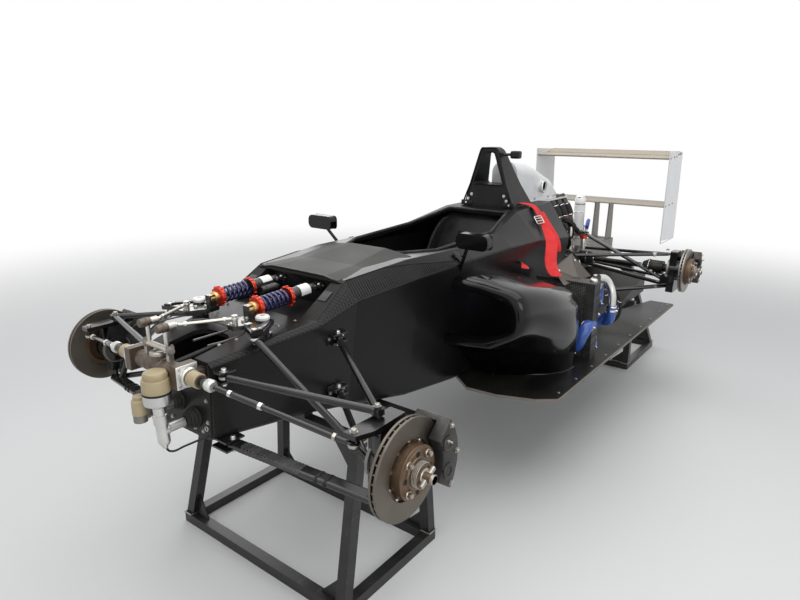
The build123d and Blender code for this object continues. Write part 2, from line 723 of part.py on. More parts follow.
UPPER_PICKUPS = [(126.0, 192.0, 868.0), (-279.0, 255.0, 890.0)]
LOWER_REAR_PICKUP = (-294.0, 240.0, 690.0)
LOWER_FRONT_PICKUP = (100.0, 176.0, 642.0)
PUSHROD_FOOT = (-16.0, 620.0, 684.0)
PUSHROD_HEAD = (28.0, 214.0, 962.0)
LEG_RADIUS = 11.0
LUG_RADIUS = 12.0
CLEVIS_LENGTH = 34.0
CLEVIS_HALF_WIDTH = 17.0
upper_eye, upper_bore = kingpin_eye(FRONT_UPPER_JOINT)
lower_eye, lower_bore = kingpin_eye(FRONT_LOWER_JOINT)
upper_arm = upper_eye
for pickup in UPPER_PICKUPS:
    upper_arm += rod(FRONT_UPPER_JOINT, pickup, LEG_RADIUS)
upper_arm -= upper_bore
lower_arm = lower_eye + rod(FRONT_LOWER_JOINT, LOWER_REAR_PICKUP, LEG_RADIUS)
lower_arm += blade(LOWER_FRONT_PICKUP, FRONT_LOWER_JOINT, 46, 18)
lug_start = (FRONT_LOWER_JOINT[0], FRONT_LOWER_JOINT[1] - 40, FRONT_LOWER_JOINT[2] + 4)
lower_arm += rod(lug_start, PUSHROD_FOOT, LUG_RADIUS)
lower_arm -= lower_bore
brackets = Part()
for x, y, z in UPPER_PICKUPS + [LOWER_REAR_PICKUP, LOWER_FRONT_PICKUP]:
    brackets += block(x - CLEVIS_LENGTH, x + CLEVIS_LENGTH, y - 60, y + 12, z - CLEVIS_HALF_WIDTH, z - 11)
    brackets += block(x - CLEVIS_LENGTH, x + CLEVIS_LENGTH, y - 60, y + 12, z + 11, z + CLEVIS_HALF_WIDTH)
    brackets += rod((x, y, z - 22), (x, y, z + 22), 7)
front_wishbones = (upper_arm + lower_arm + brackets) - outer
front_wishbones &= block(-700, TUB_FRONT_X, 0, 900, 0, 1400)
save("front_wishbones", both(front_wishbones))

pushrod = rod(PUSHROD_FOOT, PUSHROD_HEAD, LEG_RADIUS) - lower_arm
save("front_pushrods", both(pushrod))

# Rockers turn on upright posts on the tub's shelf
ROCKER_POST = (-50.0, 160.0)
DAMPER_Y = 96.0
DAMPER_FRONT = (-62.0, DAMPER_Y, 1012.0)
DAMPER_REAR = (DECK_FRONT_X, DAMPER_Y, 1026.0)
ROCKER_LOW_Z = 972.0
ROCKER_HIGH_Z = 986.0
DROP_LINK_FOOT = (24.0, 122.0)
rocker = slab(
    [(48, 228), (10, 236), (-80, 176), (-70, 80), (-30, 74), (40, 106), (44, 138), (14, 152)],
    ROCKER_LOW_Z,
    ROCKER_HIGH_Z,
)
rocker += rod((*ROCKER_POST, 900), (*ROCKER_POST, ROCKER_HIGH_Z + 12), 18)
rocker += rod((*ROCKER_POST, 930), (*ROCKER_POST, 950), 27)
rocker += block(-62, -38, DAMPER_Y - 12, DAMPER_Y + 12, ROCKER_HIGH_Z, DAMPER_FRONT[2] + 12)
rocker = rocker - outer - pushrod
save("front_rockers", both(rocker))

SPRING_FRONT_X = -88.0
SPRING_REAR_X = -205.0
SPRING_RADIUS = 28.0
SPRING_BORE = 21.0


def on_damper(x):
    """The point of the left damper's axis at station x."""
    share = (DAMPER_FRONT[0] - x) / (DAMPER_FRONT[0] - DAMPER_REAR[0])
    return (x, DAMPER_Y, DAMPER_FRONT[2] + (DAMPER_REAR[2] - DAMPER_FRONT[2]) * share)


# first x, last x, radius
DAMPER_PARTS = [
    (DAMPER_FRONT[0], SPRING_REAR_X, 9),
    (SPRING_FRONT_X, SPRING_FRONT_X + 10, 30),
    (SPRING_REAR_X, SPRING_REAR_X - 12, 30),
    (SPRING_REAR_X, -300.0, 22),
    (-300.0, -336.0, 16),
    (-336.0, DAMPER_REAR[0], 9),
]
damper = Part()
for first_x, last_x, radius in DAMPER_PARTS:
    damper += rod(on_damper(first_x), on_damper(last_x), radius)
damper = damper - rocker - deck - outer
save("front_dampers", both(damper))

spring = pipe(on_damper(SPRING_FRONT_X), on_damper(SPRING_REAR_X), SPRING_RADIUS, SPRING_BORE) - damper
save("front_springs", both(spring))

# Steering rack across the front bulkhead
RACK_BRACKET_Y = 118.0
RACK_BRACKET_HALF_WIDTH = 14.0
housing = rod((RACK_X, -150, RACK_Z), (RACK_X, 150, RACK_Z), RACK_HOUSING_RADIUS)
housing += rod((RACK_X, -RACK_SLEEVE_END_Y, RACK_Z), (RACK_X, RACK_SLEEVE_END_Y, RACK_Z), RACK_SLEEVE_RADIUS)
bracket = block(TUB_FRONT_X, RACK_X, RACK_BRACKET_Y - 14, RACK_BRACKET_Y + 14, 858, 884)
bracket += block(RACK_X - 34, RACK_X + 34, RACK_BRACKET_Y - 14, RACK_BRACKET_Y + 14, 848, 916)
housing += both(bracket)
housing += rod((RACK_X, 0, RACK_Z + 40), (RACK_X, 0, RACK_Z - 36), 24)
housing += rod((RACK_X, 0, COLUMN_FRONT[2]), (RACK_X - 34, 0, COLUMN_FRONT[2]), 18)
housing -= rod((RACK_X, -210, RACK_Z), (RACK_X, 210, RACK_Z), RACK_BAR_RADIUS + RUNNING_CLEARANCE)
column_dir = (Vector(*COLUMN_FRONT) - Vector(*WHEEL_CENTRE)).normalized()
column_bore_end = Vector(*COLUMN_FRONT) + column_dir * 3
column_bore_start = Vector(*COLUMN_FRONT) - column_dir * 60
housing -= rod(
    (column_bore_start.X, 0, column_bore_start.Z),
    (column_bore_end.X, 0, column_bore_end.Z),
    COLUMN_RADIUS + RUNNING_CLEARANCE,
)
save("rack_housing", housing)

pin_x, pin_y, pin_z = STEERING_PIN
rack_end = (RACK_X, TRACK_ROD_START_Y, RACK_Z)
track_rod = rod(rack_end, STEERING_PIN, TRACK_ROD_RADIUS)
track_rod += Pos(*rack_end) * Sphere(14)
track_rod += rod(
    (pin_x, pin_y, pin_z - STEERING_EYE_HALF_HEIGHT), (pin_x, pin_y, pin_z + STEERING_EYE_HALF_HEIGHT), 15
)
track_rod -= rod((pin_x, pin_y, pin_z - 20), (pin_x, pin_y, pin_z + 20), EYE_BORE)
rack_bar = both(track_rod)
rack_bar += rod((RACK_X, -TRACK_ROD_START_Y, RACK_Z), (RACK_X, TRACK_ROD_START_Y, RACK_Z), RACK_BAR_RADIUS)
save("rack_bar", rack_bar)

# Column and steering wheel: a flat-sided rim, a hub plate and two grips
RIM_HEIGHT_SHARE = 1.5
column = rod(COLUMN_FRONT, WHEEL_CENTRE, COLUMN_RADIUS)
save("steering_column", column)
wheel_plane = Plane(origin=WHEEL_CENTRE, x_dir=(0, 1, 0), z_dir=-column_dir)
rim_outline = RectangleRounded(2 * STEERING_WHEEL_RADIUS, RIM_HEIGHT_SHARE * STEERING_WHEEL_RADIUS, 60)
rim_hollow = RectangleRounded(2 * STEERING_WHEEL_RADIUS - 60, RIM_HEIGHT_SHARE * STEERING_WHEEL_RADIUS - 60, 34)
steering_wheel = extrude(wheel_plane * (rim_outline - rim_hollow), 28)
steering_wheel += extrude(wheel_plane * RectangleRounded(2 * STEERING_WHEEL_RADIUS - 50, 66, 12), 16)
save("steering_wheel", steering_wheel)

# Anti-roll bar above the rack, with a blade and a drop link to each rocker
BAR_Z = 940.0
BLADE_Y = 45.0
BLADE_TOP_Z = 1006.0
anti_roll = rod((RACK_X, -70, BAR_Z), (RACK_X, 70, BAR_Z), 9)
link = rod((RACK_X, BLADE_Y, BAR_Z), (RACK_X, BLADE_Y, BLADE_TOP_Z), 6)
link += rod((RACK_X + 24, BLADE_Y, BLADE_TOP_Z), (RACK_X - 30, BLADE_Y, BLADE_TOP_Z), 11)
link += rod((RACK_X - 30, BLADE_Y, BLADE_TOP_Z), (*DROP_LINK_FOOT, BLADE_TOP_Z - 2), 5)
link += rod((*DROP_LINK_FOOT, BLADE_TOP_Z + 8), (*DROP_LINK_FOOT, ROCKER_HIGH_Z), 9)
link += block(RACK_X - 8, RACK_X + 8, 50, 64, RACK_Z + 20, BAR_Z)
anti_roll += both(link)
anti_roll -= housing
anti_roll -= both(rocker)
save("anti_roll_bar", anti_roll)

# Brake master cylinders and their reservoirs on the bulkhead's front face
RESERVOIR_RADIUS = 40.0
RESERVOIR_X = FRONT_END_X - RESERVOIR_RADIUS
RESERVOIR_Y = 62.0
SMALL_RESERVOIR_X = FRONT_END_X - 24
SMALL_RESERVOIR_Y = -12.0
cylinders = rod((RESERVOIR_X, RESERVOIR_Y, 794), (RESERVOIR_X, RESERVOIR_Y, 876), RESERVOIR_RADIUS)
cylinders += rod((RESERVOIR_X, RESERVOIR_Y, 876), (RESERVOIR_X, RESERVOIR_Y, 898), 30)
cylinders += rod((RESERVOIR_X, RESERVOIR_Y, 800), (RESERVOIR_X - 8, RESERVOIR_Y, 670), 18)
cylinders += rod((RESERVOIR_X - 8, RESERVOIR_Y, 712), (TUB_FRONT_X, RESERVOIR_Y, 712), 16)
cylinders += rod((SMALL_RESERVOIR_X, SMALL_RESERVOIR_Y, 730), (SMALL_RESERVOIR_X, SMALL_RESERVOIR_Y, 806), 22)
cylinders += rod((SMALL_RESERVOIR_X, SMALL_RESERVOIR_Y, 745), (TUB_FRONT_X, SMALL_RESERVOIR_Y, 745), 16)
cylinders -= housing
save("master_cylinders", cylinders)

# Front corners: upright, caliper, hub and disc
BEARING_RADIUS = 48.0
BEARING_DEPTH = 67.0
STEERING_ARM_LOW_Z = 822.0
STEERING_ARM_HIGH_Z = 836.0
UPRIGHT_INNER_Y = 655.0
CALIPER_MOUNT_DEPTH = 28.0
stud_low = on_kingpin(FRONT_LOWER_JOINT, -12)
stud_high = on_kingpin(FRONT_UPPER_JOINT, 12)
upright = rod(
    (0, UPRIGHT_INNER_Y, FRONT_AXLE_Z), (0, UPRIGHT_INNER_Y + BEARING_DEPTH, FRONT_AXLE_Z), BEARING_RADIUS
)
upright += loft(
    [
        Pos(4, 678, 636) * Rectangle(44, 36),
        Pos(0, 682, FRONT_AXLE_Z) * Rectangle(84, 50),
        Pos(-4, 660, STEERING_ARM_HIGH_Z) * Rectangle(56, 40),
    ],
    ruled=True,
)
upright += slab(
    [(-70, 640), (-70, 690), (60, 694), (112, pin_y + 20), (112, pin_y - 20), (40, pin_y - 20)],
    STEERING_ARM_LOW_Z,
    STEERING_ARM_HIGH_Z,
)
upright += rod(stud_low, stud_high, KINGPIN_STUD_RADIUS)
upright += rod((pin_x, pin_y, pin_z - 14), (pin_x, pin_y, STEERING_ARM_LOW_Z + 6), PIN_RADIUS)
upright += block(-104, -30, 684, 684 + CALIPER_MOUNT_DEPTH, 700, 760)
upright -= rod((0, 640, FRONT_AXLE_Z), (0, 730, FRONT_AXLE_Z), HUB_SHAFT_RADIUS + RUNNING_CLEARANCE)

CALIPER_WIDTH_EACH_SIDE = 44.0
CALIPER_SWEEP = 80.0
CALIPER_STEPS = 6


def caliper_at(x, z, face_y, disc_radius, angle):
    """Two-sided caliper over the disc's rim, centred at an angle from straight ahead."""
    inner_r = DISC_INNER_RADIUS + 8
    outer_r = disc_radius + 22
    first = angle - CALIPER_SWEEP / 2
    plane = Plane(origin=(x, face_y + CALIPER_WIDTH_EACH_SIDE, z), x_dir=(1, 0, 0), z_dir=(0, -1, 0))
    points = []
    for step in range(CALIPER_STEPS + 1):
        turn = math.radians(first + CALIPER_SWEEP * step / CALIPER_STEPS)
        points.append((outer_r * math.cos(turn), outer_r * math.sin(turn)))
    for step in reversed(range(CALIPER_STEPS + 1)):
        turn = math.radians(first + CALIPER_SWEEP * step / CALIPER_STEPS)
        points.append((inner_r * math.cos(turn), inner_r * math.sin(turn)))
    depth = 2 * CALIPER_WIDTH_EACH_SIDE + DISC_THICKNESS
    body = extrude(plane * make_face(Polyline(*points, close=True)), depth)
    slot = rod(
        (x, face_y - DISC_THICKNESS - PAD_CLEARANCE, z),
        (x, face_y + PAD_CLEARANCE, z),
        disc_radius + PAD_CLEARANCE,
    )
    return body - slot


CALIPER_ANGLE = 178.0
front_caliper = caliper_at(0, FRONT_AXLE_Z, FRONT_DISC_FACE_Y, FRONT_DISC_RADIUS, CALIPER_ANGLE) - upright


def disc_at(x, z, face_y, disc_radius):
    return pipe((x, face_y - DISC_THICKNESS, z), (x, face_y, z), disc_radius, DISC_INNER_RADIUS)


def hub_at(x, z, disc_face_y, shaft_start_y):
    """Wheel hub: shaft, bell that carries the disc, drive pegs and the hollow nose."""
    bell_face_y = disc_face_y + BELL_DEPTH
    bell_back_y = disc_face_y - DISC_THICKNESS + 4
    nose_end = bell_face_y + HUB_NOSE_LENGTH
    shape = rod((x, shaft_start_y, z), (x, bell_face_y, z), HUB_SHAFT_RADIUS)
    shape += pipe((x, bell_back_y, z), (x, bell_face_y, z), BELL_RADIUS, BELL_RADIUS - BELL_WALL)
    shape += rod((x, bell_face_y - PEG_LENGTH, z), (x, bell_face_y, z), BELL_RADIUS)
    shape += pipe((x, bell_back_y, z), (x, bell_back_y + 8, z), DISC_INNER_RADIUS, BELL_RADIUS - BELL_WALL)
    shape += pipe((x, bell_face_y, z), (x, nose_end, z), HUB_NOSE_RADIUS, HUB_BORE_RADIUS)
    shape += rod((x, bell_face_y, z), (x, nose_end + HUB_SPIGOT_LENGTH, z), HUB_SPIGOT_RADIUS)
    for index in range(PEG_COUNT):
        turn = math.radians(360 / PEG_COUNT * index + PEG_FIRST_ANGLE)
        peg_x = x + PEG_CIRCLE_RADIUS * math.cos(turn)
        peg_z = z + PEG_CIRCLE_RADIUS * math.sin(turn)
        shape += rod((peg_x, bell_face_y, peg_z), (peg_x, bell_face_y + PEG_LENGTH, peg_z), PEG_RADIUS)
    return shape


front_hub = hub_at(0, FRONT_AXLE_Z, FRONT_DISC_FACE_Y, UPRIGHT_INNER_Y - 15)
front_disc = disc_at(0, FRONT_AXLE_Z, FRONT_DISC_FACE_Y, FRONT_DISC_RADIUS)
for side_name, place in (("left", lambda shape: shape), ("right", other_side)):
    save(f"front_upright_{side_name}", place(upright))
    save(f"front_caliper_{side_name}", place(front_caliper))
    save(f"front_hub_{side_name}", place(front_hub))
    save(f"front_disc_{side_name}", place(front_disc))

# Rear corners
REAR_UPRIGHT_Y = REAR_DISC_FACE_Y - 103
REAR_UPPER_JOINT = (REAR_X + 11, 690.0, 857.0)
REAR_LOWER_JOINT = (REAR_X - 30, 705.0, 662.0)
REAR_TOE_JOINT = (REAR_X - 96, 700.0, 690.0)
REAR_PUSHROD_FOOT = (REAR_X + 79, 680.0, 724.0)
REAR_PUSHROD_HEAD = (ROCKER_X, 200.0, 930.0)
upright_back = REAR_X - 60
upright_front = REAR_X + 60
rear_upright = rod(
    (REAR_X, REAR_UPRIGHT_Y, REAR_AXLE_Z), (REAR_X, REAR_UPRIGHT_Y + BEARING_DEPTH, REAR_AXLE_Z), 52
)
rear_upright += side_plate(
    [
        (upright_back - 44, 640),
        (upright_front, 640),
        (upright_front - 14, REAR_AXLE_Z),
        (upright_front - 16, 880),
        (upright_back + 20, 880),
        (upright_back + 14, REAR_AXLE_Z),
        (upright_back - 40, 710),
    ],
    REAR_UPRIGHT_Y + 9,
    REAR_UPRIGHT_Y + 49,
    radius=6,
)
mount_y = REAR_UPRIGHT_Y + 29
rear_upright += block(REAR_X - 110, REAR_X - 30, mount_y, mount_y + CALIPER_MOUNT_DEPTH, 745, 805)
rear_upright += block(REAR_X + 10, REAR_X + 100, REAR_UPRIGHT_Y - 20, REAR_UPRIGHT_Y + 30, 700, 740)
rear_upright -= rod(
    (REAR_X, REAR_UPRIGHT_Y - 25, REAR_AXLE_Z),
    (REAR_X, REAR_UPRIGHT_Y + 75, REAR_AXLE_Z),
    HUB_SHAFT_RADIUS + RUNNING_CLEARANCE,
)
rear_caliper = caliper_at(REAR_X, REAR_AXLE_Z, REAR_DISC_FACE_Y, REAR_DISC_RADIUS, CALIPER_ANGLE)
rear_caliper = rear_caliper - rear_upright
save("rear_uprights", both(rear_upright))
save("rear_calipers", both(rear_caliper))

# outer end, inner end, y where the inner end stops, radius
REAR_LINKS = [
    (REAR_UPPER_JOINT, (REAR_X + 317, 170, 830), 88, 10),
    (REAR_UPPER_JOINT, (REAR_X - 215, 150, 794), 60, 10),
    (REAR_LOWER_JOINT, (REAR_X + 317, 200, 600), 120, 12),
    (REAR_LOWER_JOINT, (REAR_X - 369, 150, 644), 50, 12),
    (REAR_TOE_JOINT, (REAR_X - 333, 120, 680), 50, 9),
]
rear_links = Part()
for outer_end, inner_end, stop_y, radius in REAR_LINKS:
    rear_links += rod(outer_end, run_in(outer_end, inner_end, stop_y), radius)
rear_links += blade(REAR_PUSHROD_FOOT, REAR_PUSHROD_HEAD, 40, 16)
rear_links = both(rear_links) - both(rear_upright) - gearbox - engine - tail
save("rear_wishbones", rear_links)

DRIVESHAFT_RADIUS = 15.0
rear_hub = hub_at(REAR_X, REAR_AXLE_Z, REAR_DISC_FACE_Y, 600)
rear_hub += rod((REAR_X, 160, REAR_AXLE_Z), (REAR_X, 600, REAR_AXLE_Z), DRIVESHAFT_RADIUS)
rear_hub += rod((REAR_X, DRIVE_FLANGE_Y + 6, REAR_AXLE_Z), (REAR_X, 200, REAR_AXLE_Z), 42)
rear_hub += rod((REAR_X, 590, REAR_AXLE_Z), (REAR_X, REAR_UPRIGHT_Y - 30, REAR_AXLE_Z), 40)
rear_disc = disc_at(REAR_X, REAR_AXLE_Z, REAR_DISC_FACE_Y, REAR_DISC_RADIUS)
for side_name, place in (("left", lambda shape: shape), ("right", other_side)):
    save(f"rear_hub_{side_name}", place(rear_hub))
    save(f"rear_disc_{side_name}", place(rear_disc))

# Mirrors on stalks
MIRROR_X = -885.0
mirror_body = cross_plate(
    [(330, 1112), (470, 1112), (470, 1172), (330, 1172)], MIRROR_X - 20, MIRROR_X + 20, radius=24
)
mirror_body += rod((MIRROR_X, 372, 1116), (MIRROR_X - 60, 300, 990), 7)
mirror_body -= outer
save("mirrors", both(mirror_body))

# Harness webbing from behind the hoop over the side of the tub
BELT_X = HOOP_FRONT_X - 60
BELT_WIDTH = 50.0
belt_outline = [(150, 1172), (206, 1170), (326, 1012), (420, 880), (424, 883), (330, 1016), (208, 1174), (150, 1176)]
belt = cross_plate(belt_outline, BELT_X - BELT_WIDTH, BELT_X) - outer - roll_hoop - cover
save("harness", belt.solids().sort_by(SortBy.VOLUME)[-1])

# Paddock stands of square tube, gusseted at the corners
STAND_TUBE = 40.0
HALF_TUBE = STAND_TUBE / 2
GUSSET_SIDE = 100.0
GUSSET_THICKNESS = 5.0


def leg_gussets(foot, top):
    """Triangles at both ends of one leg, against the cross tubes."""
    foot = Vector(*foot)
    top = Vector(*top)
    along = (top - foot).normalized()
    inward = Vector(0, -1 if foot.Y > 0 else 1, 0)
    shape = Part()
    for corner, rise in ((foot + along * HALF_TUBE * 2, along), (top - along * HALF_TUBE * 2, -along)):
        shape += sheet([corner, corner + inward * GUSSET_SIDE, corner + rise * GUSSET_SIDE], GUSSET_THICKNESS)
    return shape


STAND_HALF_WIDTH = 415.0
STAND_TOP_HALF_WIDTH = 380.0
STAND_FRONT_X = -105.0
STAND_REAR_X = -600.0
# foot x, top x, top z
STAND_LEGS = [(STAND_FRONT_X, -235.0, 592.0), (STAND_REAR_X, -590.0, 524.0)]
stand = Part()
for foot_x, top_x, top_z in STAND_LEGS:
    stand += square_tube(
        (foot_x, -STAND_HALF_WIDTH, HALF_TUBE), (foot_x, STAND_HALF_WIDTH, HALF_TUBE), STAND_TUBE
    )
    top_end = STAND_TOP_HALF_WIDTH + HALF_TUBE
    stand += block(top_x - HALF_TUBE, top_x + HALF_TUBE, -top_end, top_end, top_z - STAND_TUBE, top_z)
    foot = (foot_x, STAND_HALF_WIDTH, 2)
    top = (top_x, STAND_TOP_HALF_WIDTH, top_z - 4)
    stand += both(square_tube(foot, top, STAND_TUBE, up=(1, 0, 0)) + leg_gussets(foot, top))
    pad = block(top_x - HALF_TUBE, top_x + HALF_TUBE, -150, 150, top_z, top_z + 70)
    stand += pad - outer
stand += both(
    square_tube(
        (STAND_REAR_X - HALF_TUBE, STAND_HALF_WIDTH, HALF_TUBE),
        (STAND_FRONT_X + HALF_TUBE, STAND_HALF_WIDTH, HALF_TUBE),
        STAND_TUBE,
    )
)
stand &= block(-2000, 1000, -1000, 1000, 0, 1000)
save("stand_front", stand)

REAR_STAND_HALF_WIDTH = 450.0
REAR_STAND_FRONT_X = REAR_X - 223
REAR_STAND_REAR_X = REAR_X - 793
REAR_BAR_X = REAR_X - 733
REAR_BAR_HALF_WIDTH = 250.0
# foot x, top x, top half width, top z
REAR_STAND_LEGS = [
    (REAR_STAND_FRONT_X, REAR_STAND_FRONT_X, REAR_STAND_HALF_WIDTH, floor_bottom_z),
    (REAR_STAND_REAR_X, REAR_BAR_X, REAR_BAR_HALF_WIDTH, TAIL_BOTTOM_Z),
]
rear_stand = Part()
for foot_x, top_x, top_y, top_z in REAR_STAND_LEGS:
    rear_stand += square_tube(
        (foot_x, -REAR_STAND_HALF_WIDTH, HALF_TUBE), (foot_x, REAR_STAND_HALF_WIDTH, HALF_TUBE), STAND_TUBE
    )
    top_end = top_y + HALF_TUBE
    rear_stand += block(top_x - HALF_TUBE, top_x + HALF_TUBE, -top_end, top_end, top_z - STAND_TUBE, top_z)
    foot = (foot_x, REAR_STAND_HALF_WIDTH, 2)
    top = (top_x, top_y, top_z - 4)
    rear_stand += both(square_tube(foot, top, STAND_TUBE, up=(1, 0, 0)) + leg_gussets(foot, top))
rear_stand += both(
    square_tube(
        (REAR_STAND_REAR_X, REAR_STAND_HALF_WIDTH, HALF_TUBE),
        (REAR_STAND_FRONT_X, REAR_STAND_HALF_WIDTH, HALF_TUBE),
        STAND_TUBE,
    )
)
rear_stand &= block(REAR_END_X, 0, -1000, 1000, 0, 1000)
save("stand_rear", rear_stand - diffuser - floor)
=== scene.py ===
import math

import bpy
from mathutils import Matrix, Vector


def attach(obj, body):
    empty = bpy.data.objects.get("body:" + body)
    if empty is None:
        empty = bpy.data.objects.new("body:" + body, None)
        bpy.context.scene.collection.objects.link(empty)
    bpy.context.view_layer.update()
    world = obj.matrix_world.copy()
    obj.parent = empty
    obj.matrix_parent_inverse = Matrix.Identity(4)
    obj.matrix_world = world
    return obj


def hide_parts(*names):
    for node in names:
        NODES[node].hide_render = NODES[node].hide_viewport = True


bl_info = {
    "name": "Open Wheel Racing Car",
    "version": (1, 0, 0),
    "blender": (4, 5, 0),
    "location": "View3D > Sidebar > Car",
    "description": "Dresses the jointed racing car frame with fittings, finishes and a plain stage",
    "category": "Object",
}

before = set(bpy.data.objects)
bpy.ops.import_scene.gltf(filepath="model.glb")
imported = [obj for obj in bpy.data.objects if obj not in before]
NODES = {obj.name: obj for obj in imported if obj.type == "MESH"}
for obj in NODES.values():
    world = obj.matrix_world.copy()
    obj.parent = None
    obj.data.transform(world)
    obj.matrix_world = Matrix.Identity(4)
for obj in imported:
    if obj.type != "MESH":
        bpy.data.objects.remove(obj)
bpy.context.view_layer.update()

# Stations are read in millimetres from the front axle, as on the chassis drawing
ORIGIN_SHIFT = 1670.0
MM = 0.001
FRONT_AXLE = (0.0, 723.0)
REAR_AXLE = (-2667.0, 770.0)
CHASSIS = "chassis"


def at(x, y, z):
    """A place on the car in metres, from millimetres measured from the front axle."""
    return Vector(((x + ORIGIN_SHIFT) * MM, y * MM, z * MM))


def on_axle(axle, y):
    """The place at y on an axle's line."""
    return at(axle[0], y, axle[1])


# Modelling helpers


def begin():
    """Object mode with nothing selected."""
    if bpy.context.mode != "OBJECT":
        bpy.ops.object.mode_set(mode="OBJECT")
    bpy.ops.object.select_all(action="DESELECT")


def only(piece):
    begin()
    piece.select_set(True)
    bpy.context.view_layer.objects.active = piece


def aim(place, direction, roll=0.0):
    """Matrix whose Z axis points along a direction."""
    turn = Vector(direction).to_track_quat("Z", "Y").to_matrix().to_4x4()
    return Matrix.Translation(place) @ turn @ Matrix.Rotation(roll, 4, "Z")


def place_by(piece, matrix):
    """Moves a piece by a matrix and applies it, so that its place is in its mesh."""
    only(piece)
    piece.matrix_world = matrix
    bpy.ops.object.transform_apply(location=True, rotation=True, scale=True)
    return piece


def modify(piece, kind, **settings):
    """Adds one modifier with its settings and applies it."""
    only(piece)
    bpy.ops.object.modifier_add(type=kind)
    modifier = piece.modifiers[-1]
    for key, value in settings.items():
        setattr(modifier, key, value)
    bpy.ops.object.modifier_apply(modifier=modifier.name)
    return piece


def bevelled(piece, width, segments=2, angle=40):
    return modify(
        piece, "BEVEL", width=width, segments=segments, limit_method="ANGLE",
        angle_limit=math.radians(angle)
    )


def outward(piece):
    only(piece)
    bpy.ops.object.mode_set(mode="EDIT")
    bpy.ops.mesh.select_all(action="SELECT")
    bpy.ops.mesh.remove_doubles(threshold=0.00001)
    bpy.ops.mesh.normals_make_consistent(inside=False)
    bpy.ops.object.mode_set(mode="OBJECT")
    return piece


def join(pieces):
    begin()
    for piece in pieces:
        piece.select_set(True)
    bpy.context.view_layer.objects.active = pieces[0]
    if len(pieces) > 1:
        bpy.ops.object.join()
    return bpy.context.view_layer.objects.active


def copy_of(piece, matrix):
    """Another one of a piece with its own mesh, at a new place."""
    other = piece.copy()
    other.data = piece.data.copy()
    bpy.context.scene.collection.objects.link(other)
    return place_by(other, matrix)


def spread(master, matrices):
    """Copies of a master at every place, joined into one piece; the master is removed."""
    made = [copy_of(master, matrix) for matrix in matrices]
    bpy.data.objects.remove(master)
    return join(made)


def mirrored(piece):
    """The same piece on the car's right side."""
    other = copy_of(piece, Matrix.Scale(-1, 4, (0, 1, 0)))
    return outward(other)


def finished(piece, name, material, body=CHASSIS, slot=None, smooth=35):
    """Names a piece, gives it its material and shading, and lets it ride a body."""
    only(piece)
    piece.name = name
    piece.data.name = name
    piece.data.materials.clear()
    piece.data.materials.append(MATERIALS[material])
    bpy.ops.object.shade_smooth_by_angle(angle=math.radians(smooth))
    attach(piece, body)
    return piece


def pair(piece, name, material, body=CHASSIS, **more):
    """A finished piece on the left and its twin on the right, each on its own side's body."""
    right = mirrored(piece)
    bodies = (body, body) if isinstance(body, str) else body
    finished(piece, name + "_left", material, bodies[0], **more)
    finished(right, name + "_right", material, bodies[1], **more)


def lathe(profile, matrix, segments=32, closed=False, capped=True):
    """Turned piece: a circle extruded and scaled along a profile of (radius, height) in millimetres."""
    begin()
    radius, height = profile[0]
    bpy.ops.mesh.primitive_circle_add(
        vertices=segments, radius=radius * MM, location=(0, 0, height * MM), fill_type="NOTHING"
    )
    piece = bpy.context.object
    bpy.ops.object.transform_apply(location=True)
    bpy.ops.object.mode_set(mode="EDIT")
    bpy.ops.mesh.select_all(action="SELECT")
    if capped and not closed:
        bpy.ops.mesh.edge_face_add()
        bpy.ops.mesh.select_all(action="SELECT")
    for next_radius, next_height in profile[1:]:
        bpy.ops.mesh.extrude_region_move(
            TRANSFORM_OT_translate={"value": (0, 0, (next_height - height) * MM)}
        )
        if next_radius != radius:
            share = next_radius / radius
            bpy.ops.transform.resize(value=(share, share, 1), center_override=(0, 0, next_height * MM))
        radius, height = next_radius, next_height
    bpy.ops.object.mode_set(mode="OBJECT")
    outward(piece)
    return place_by(piece, matrix)


def moved(x, y, z):
    """Matrix that moves to a place in millimetres from the front axle."""
    return Matrix.Translation(at(x, y, z))


def polar(degrees, radius, height=0.0):
    """Matrix that turns about Z and then goes out to a radius, in millimetres."""
    return Matrix.Rotation(math.radians(degrees), 4, "Z") @ Matrix.Translation((radius * MM, 0, height * MM))


def drum(start, end, radius, segments=24, edge=0.0):
    """Round bar between two places, its ends bevelled."""
    start, end = Vector(start), Vector(end)
    length = (end - start).length
    begin()
    bpy.ops.mesh.primitive_cylinder_add(vertices=segments, radius=radius * MM, depth=length)
    piece = place_by(bpy.context.object, aim((start + end) / 2, end - start))
    if edge:
        bevelled(piece, edge * MM, 2)
    return piece


def block(size, edge=0.0, segments=2):
    """Square block about the origin, its size in millimetres, bevelled all round."""
    begin()
    bpy.ops.mesh.primitive_cube_add(size=1)
    piece = place_by(bpy.context.object, Matrix.Diagonal((*(Vector(size) * MM), 1)))
    if edge:
        bevelled(piece, edge * MM, segments)
    return piece


def slab(low, high, edge=2.0, turn=None, segments=2):
    """Square block between two places in millimetres, bevelled all round and turned about its middle."""
    low, high = Vector(low), Vector(high)
    piece = block(high - low, edge, segments)
    middle = moved(*((low + high) / 2))
    return place_by(piece, middle if turn is None else middle @ turn)


def ring(place, direction, major, minor, segments=32, minor_segments=10):
    begin()
    bpy.ops.mesh.primitive_torus_add(
        major_radius=major * MM, minor_radius=minor * MM, major_segments=segments,
        minor_segments=minor_segments
    )
    return place_by(bpy.context.object, aim(place, direction))


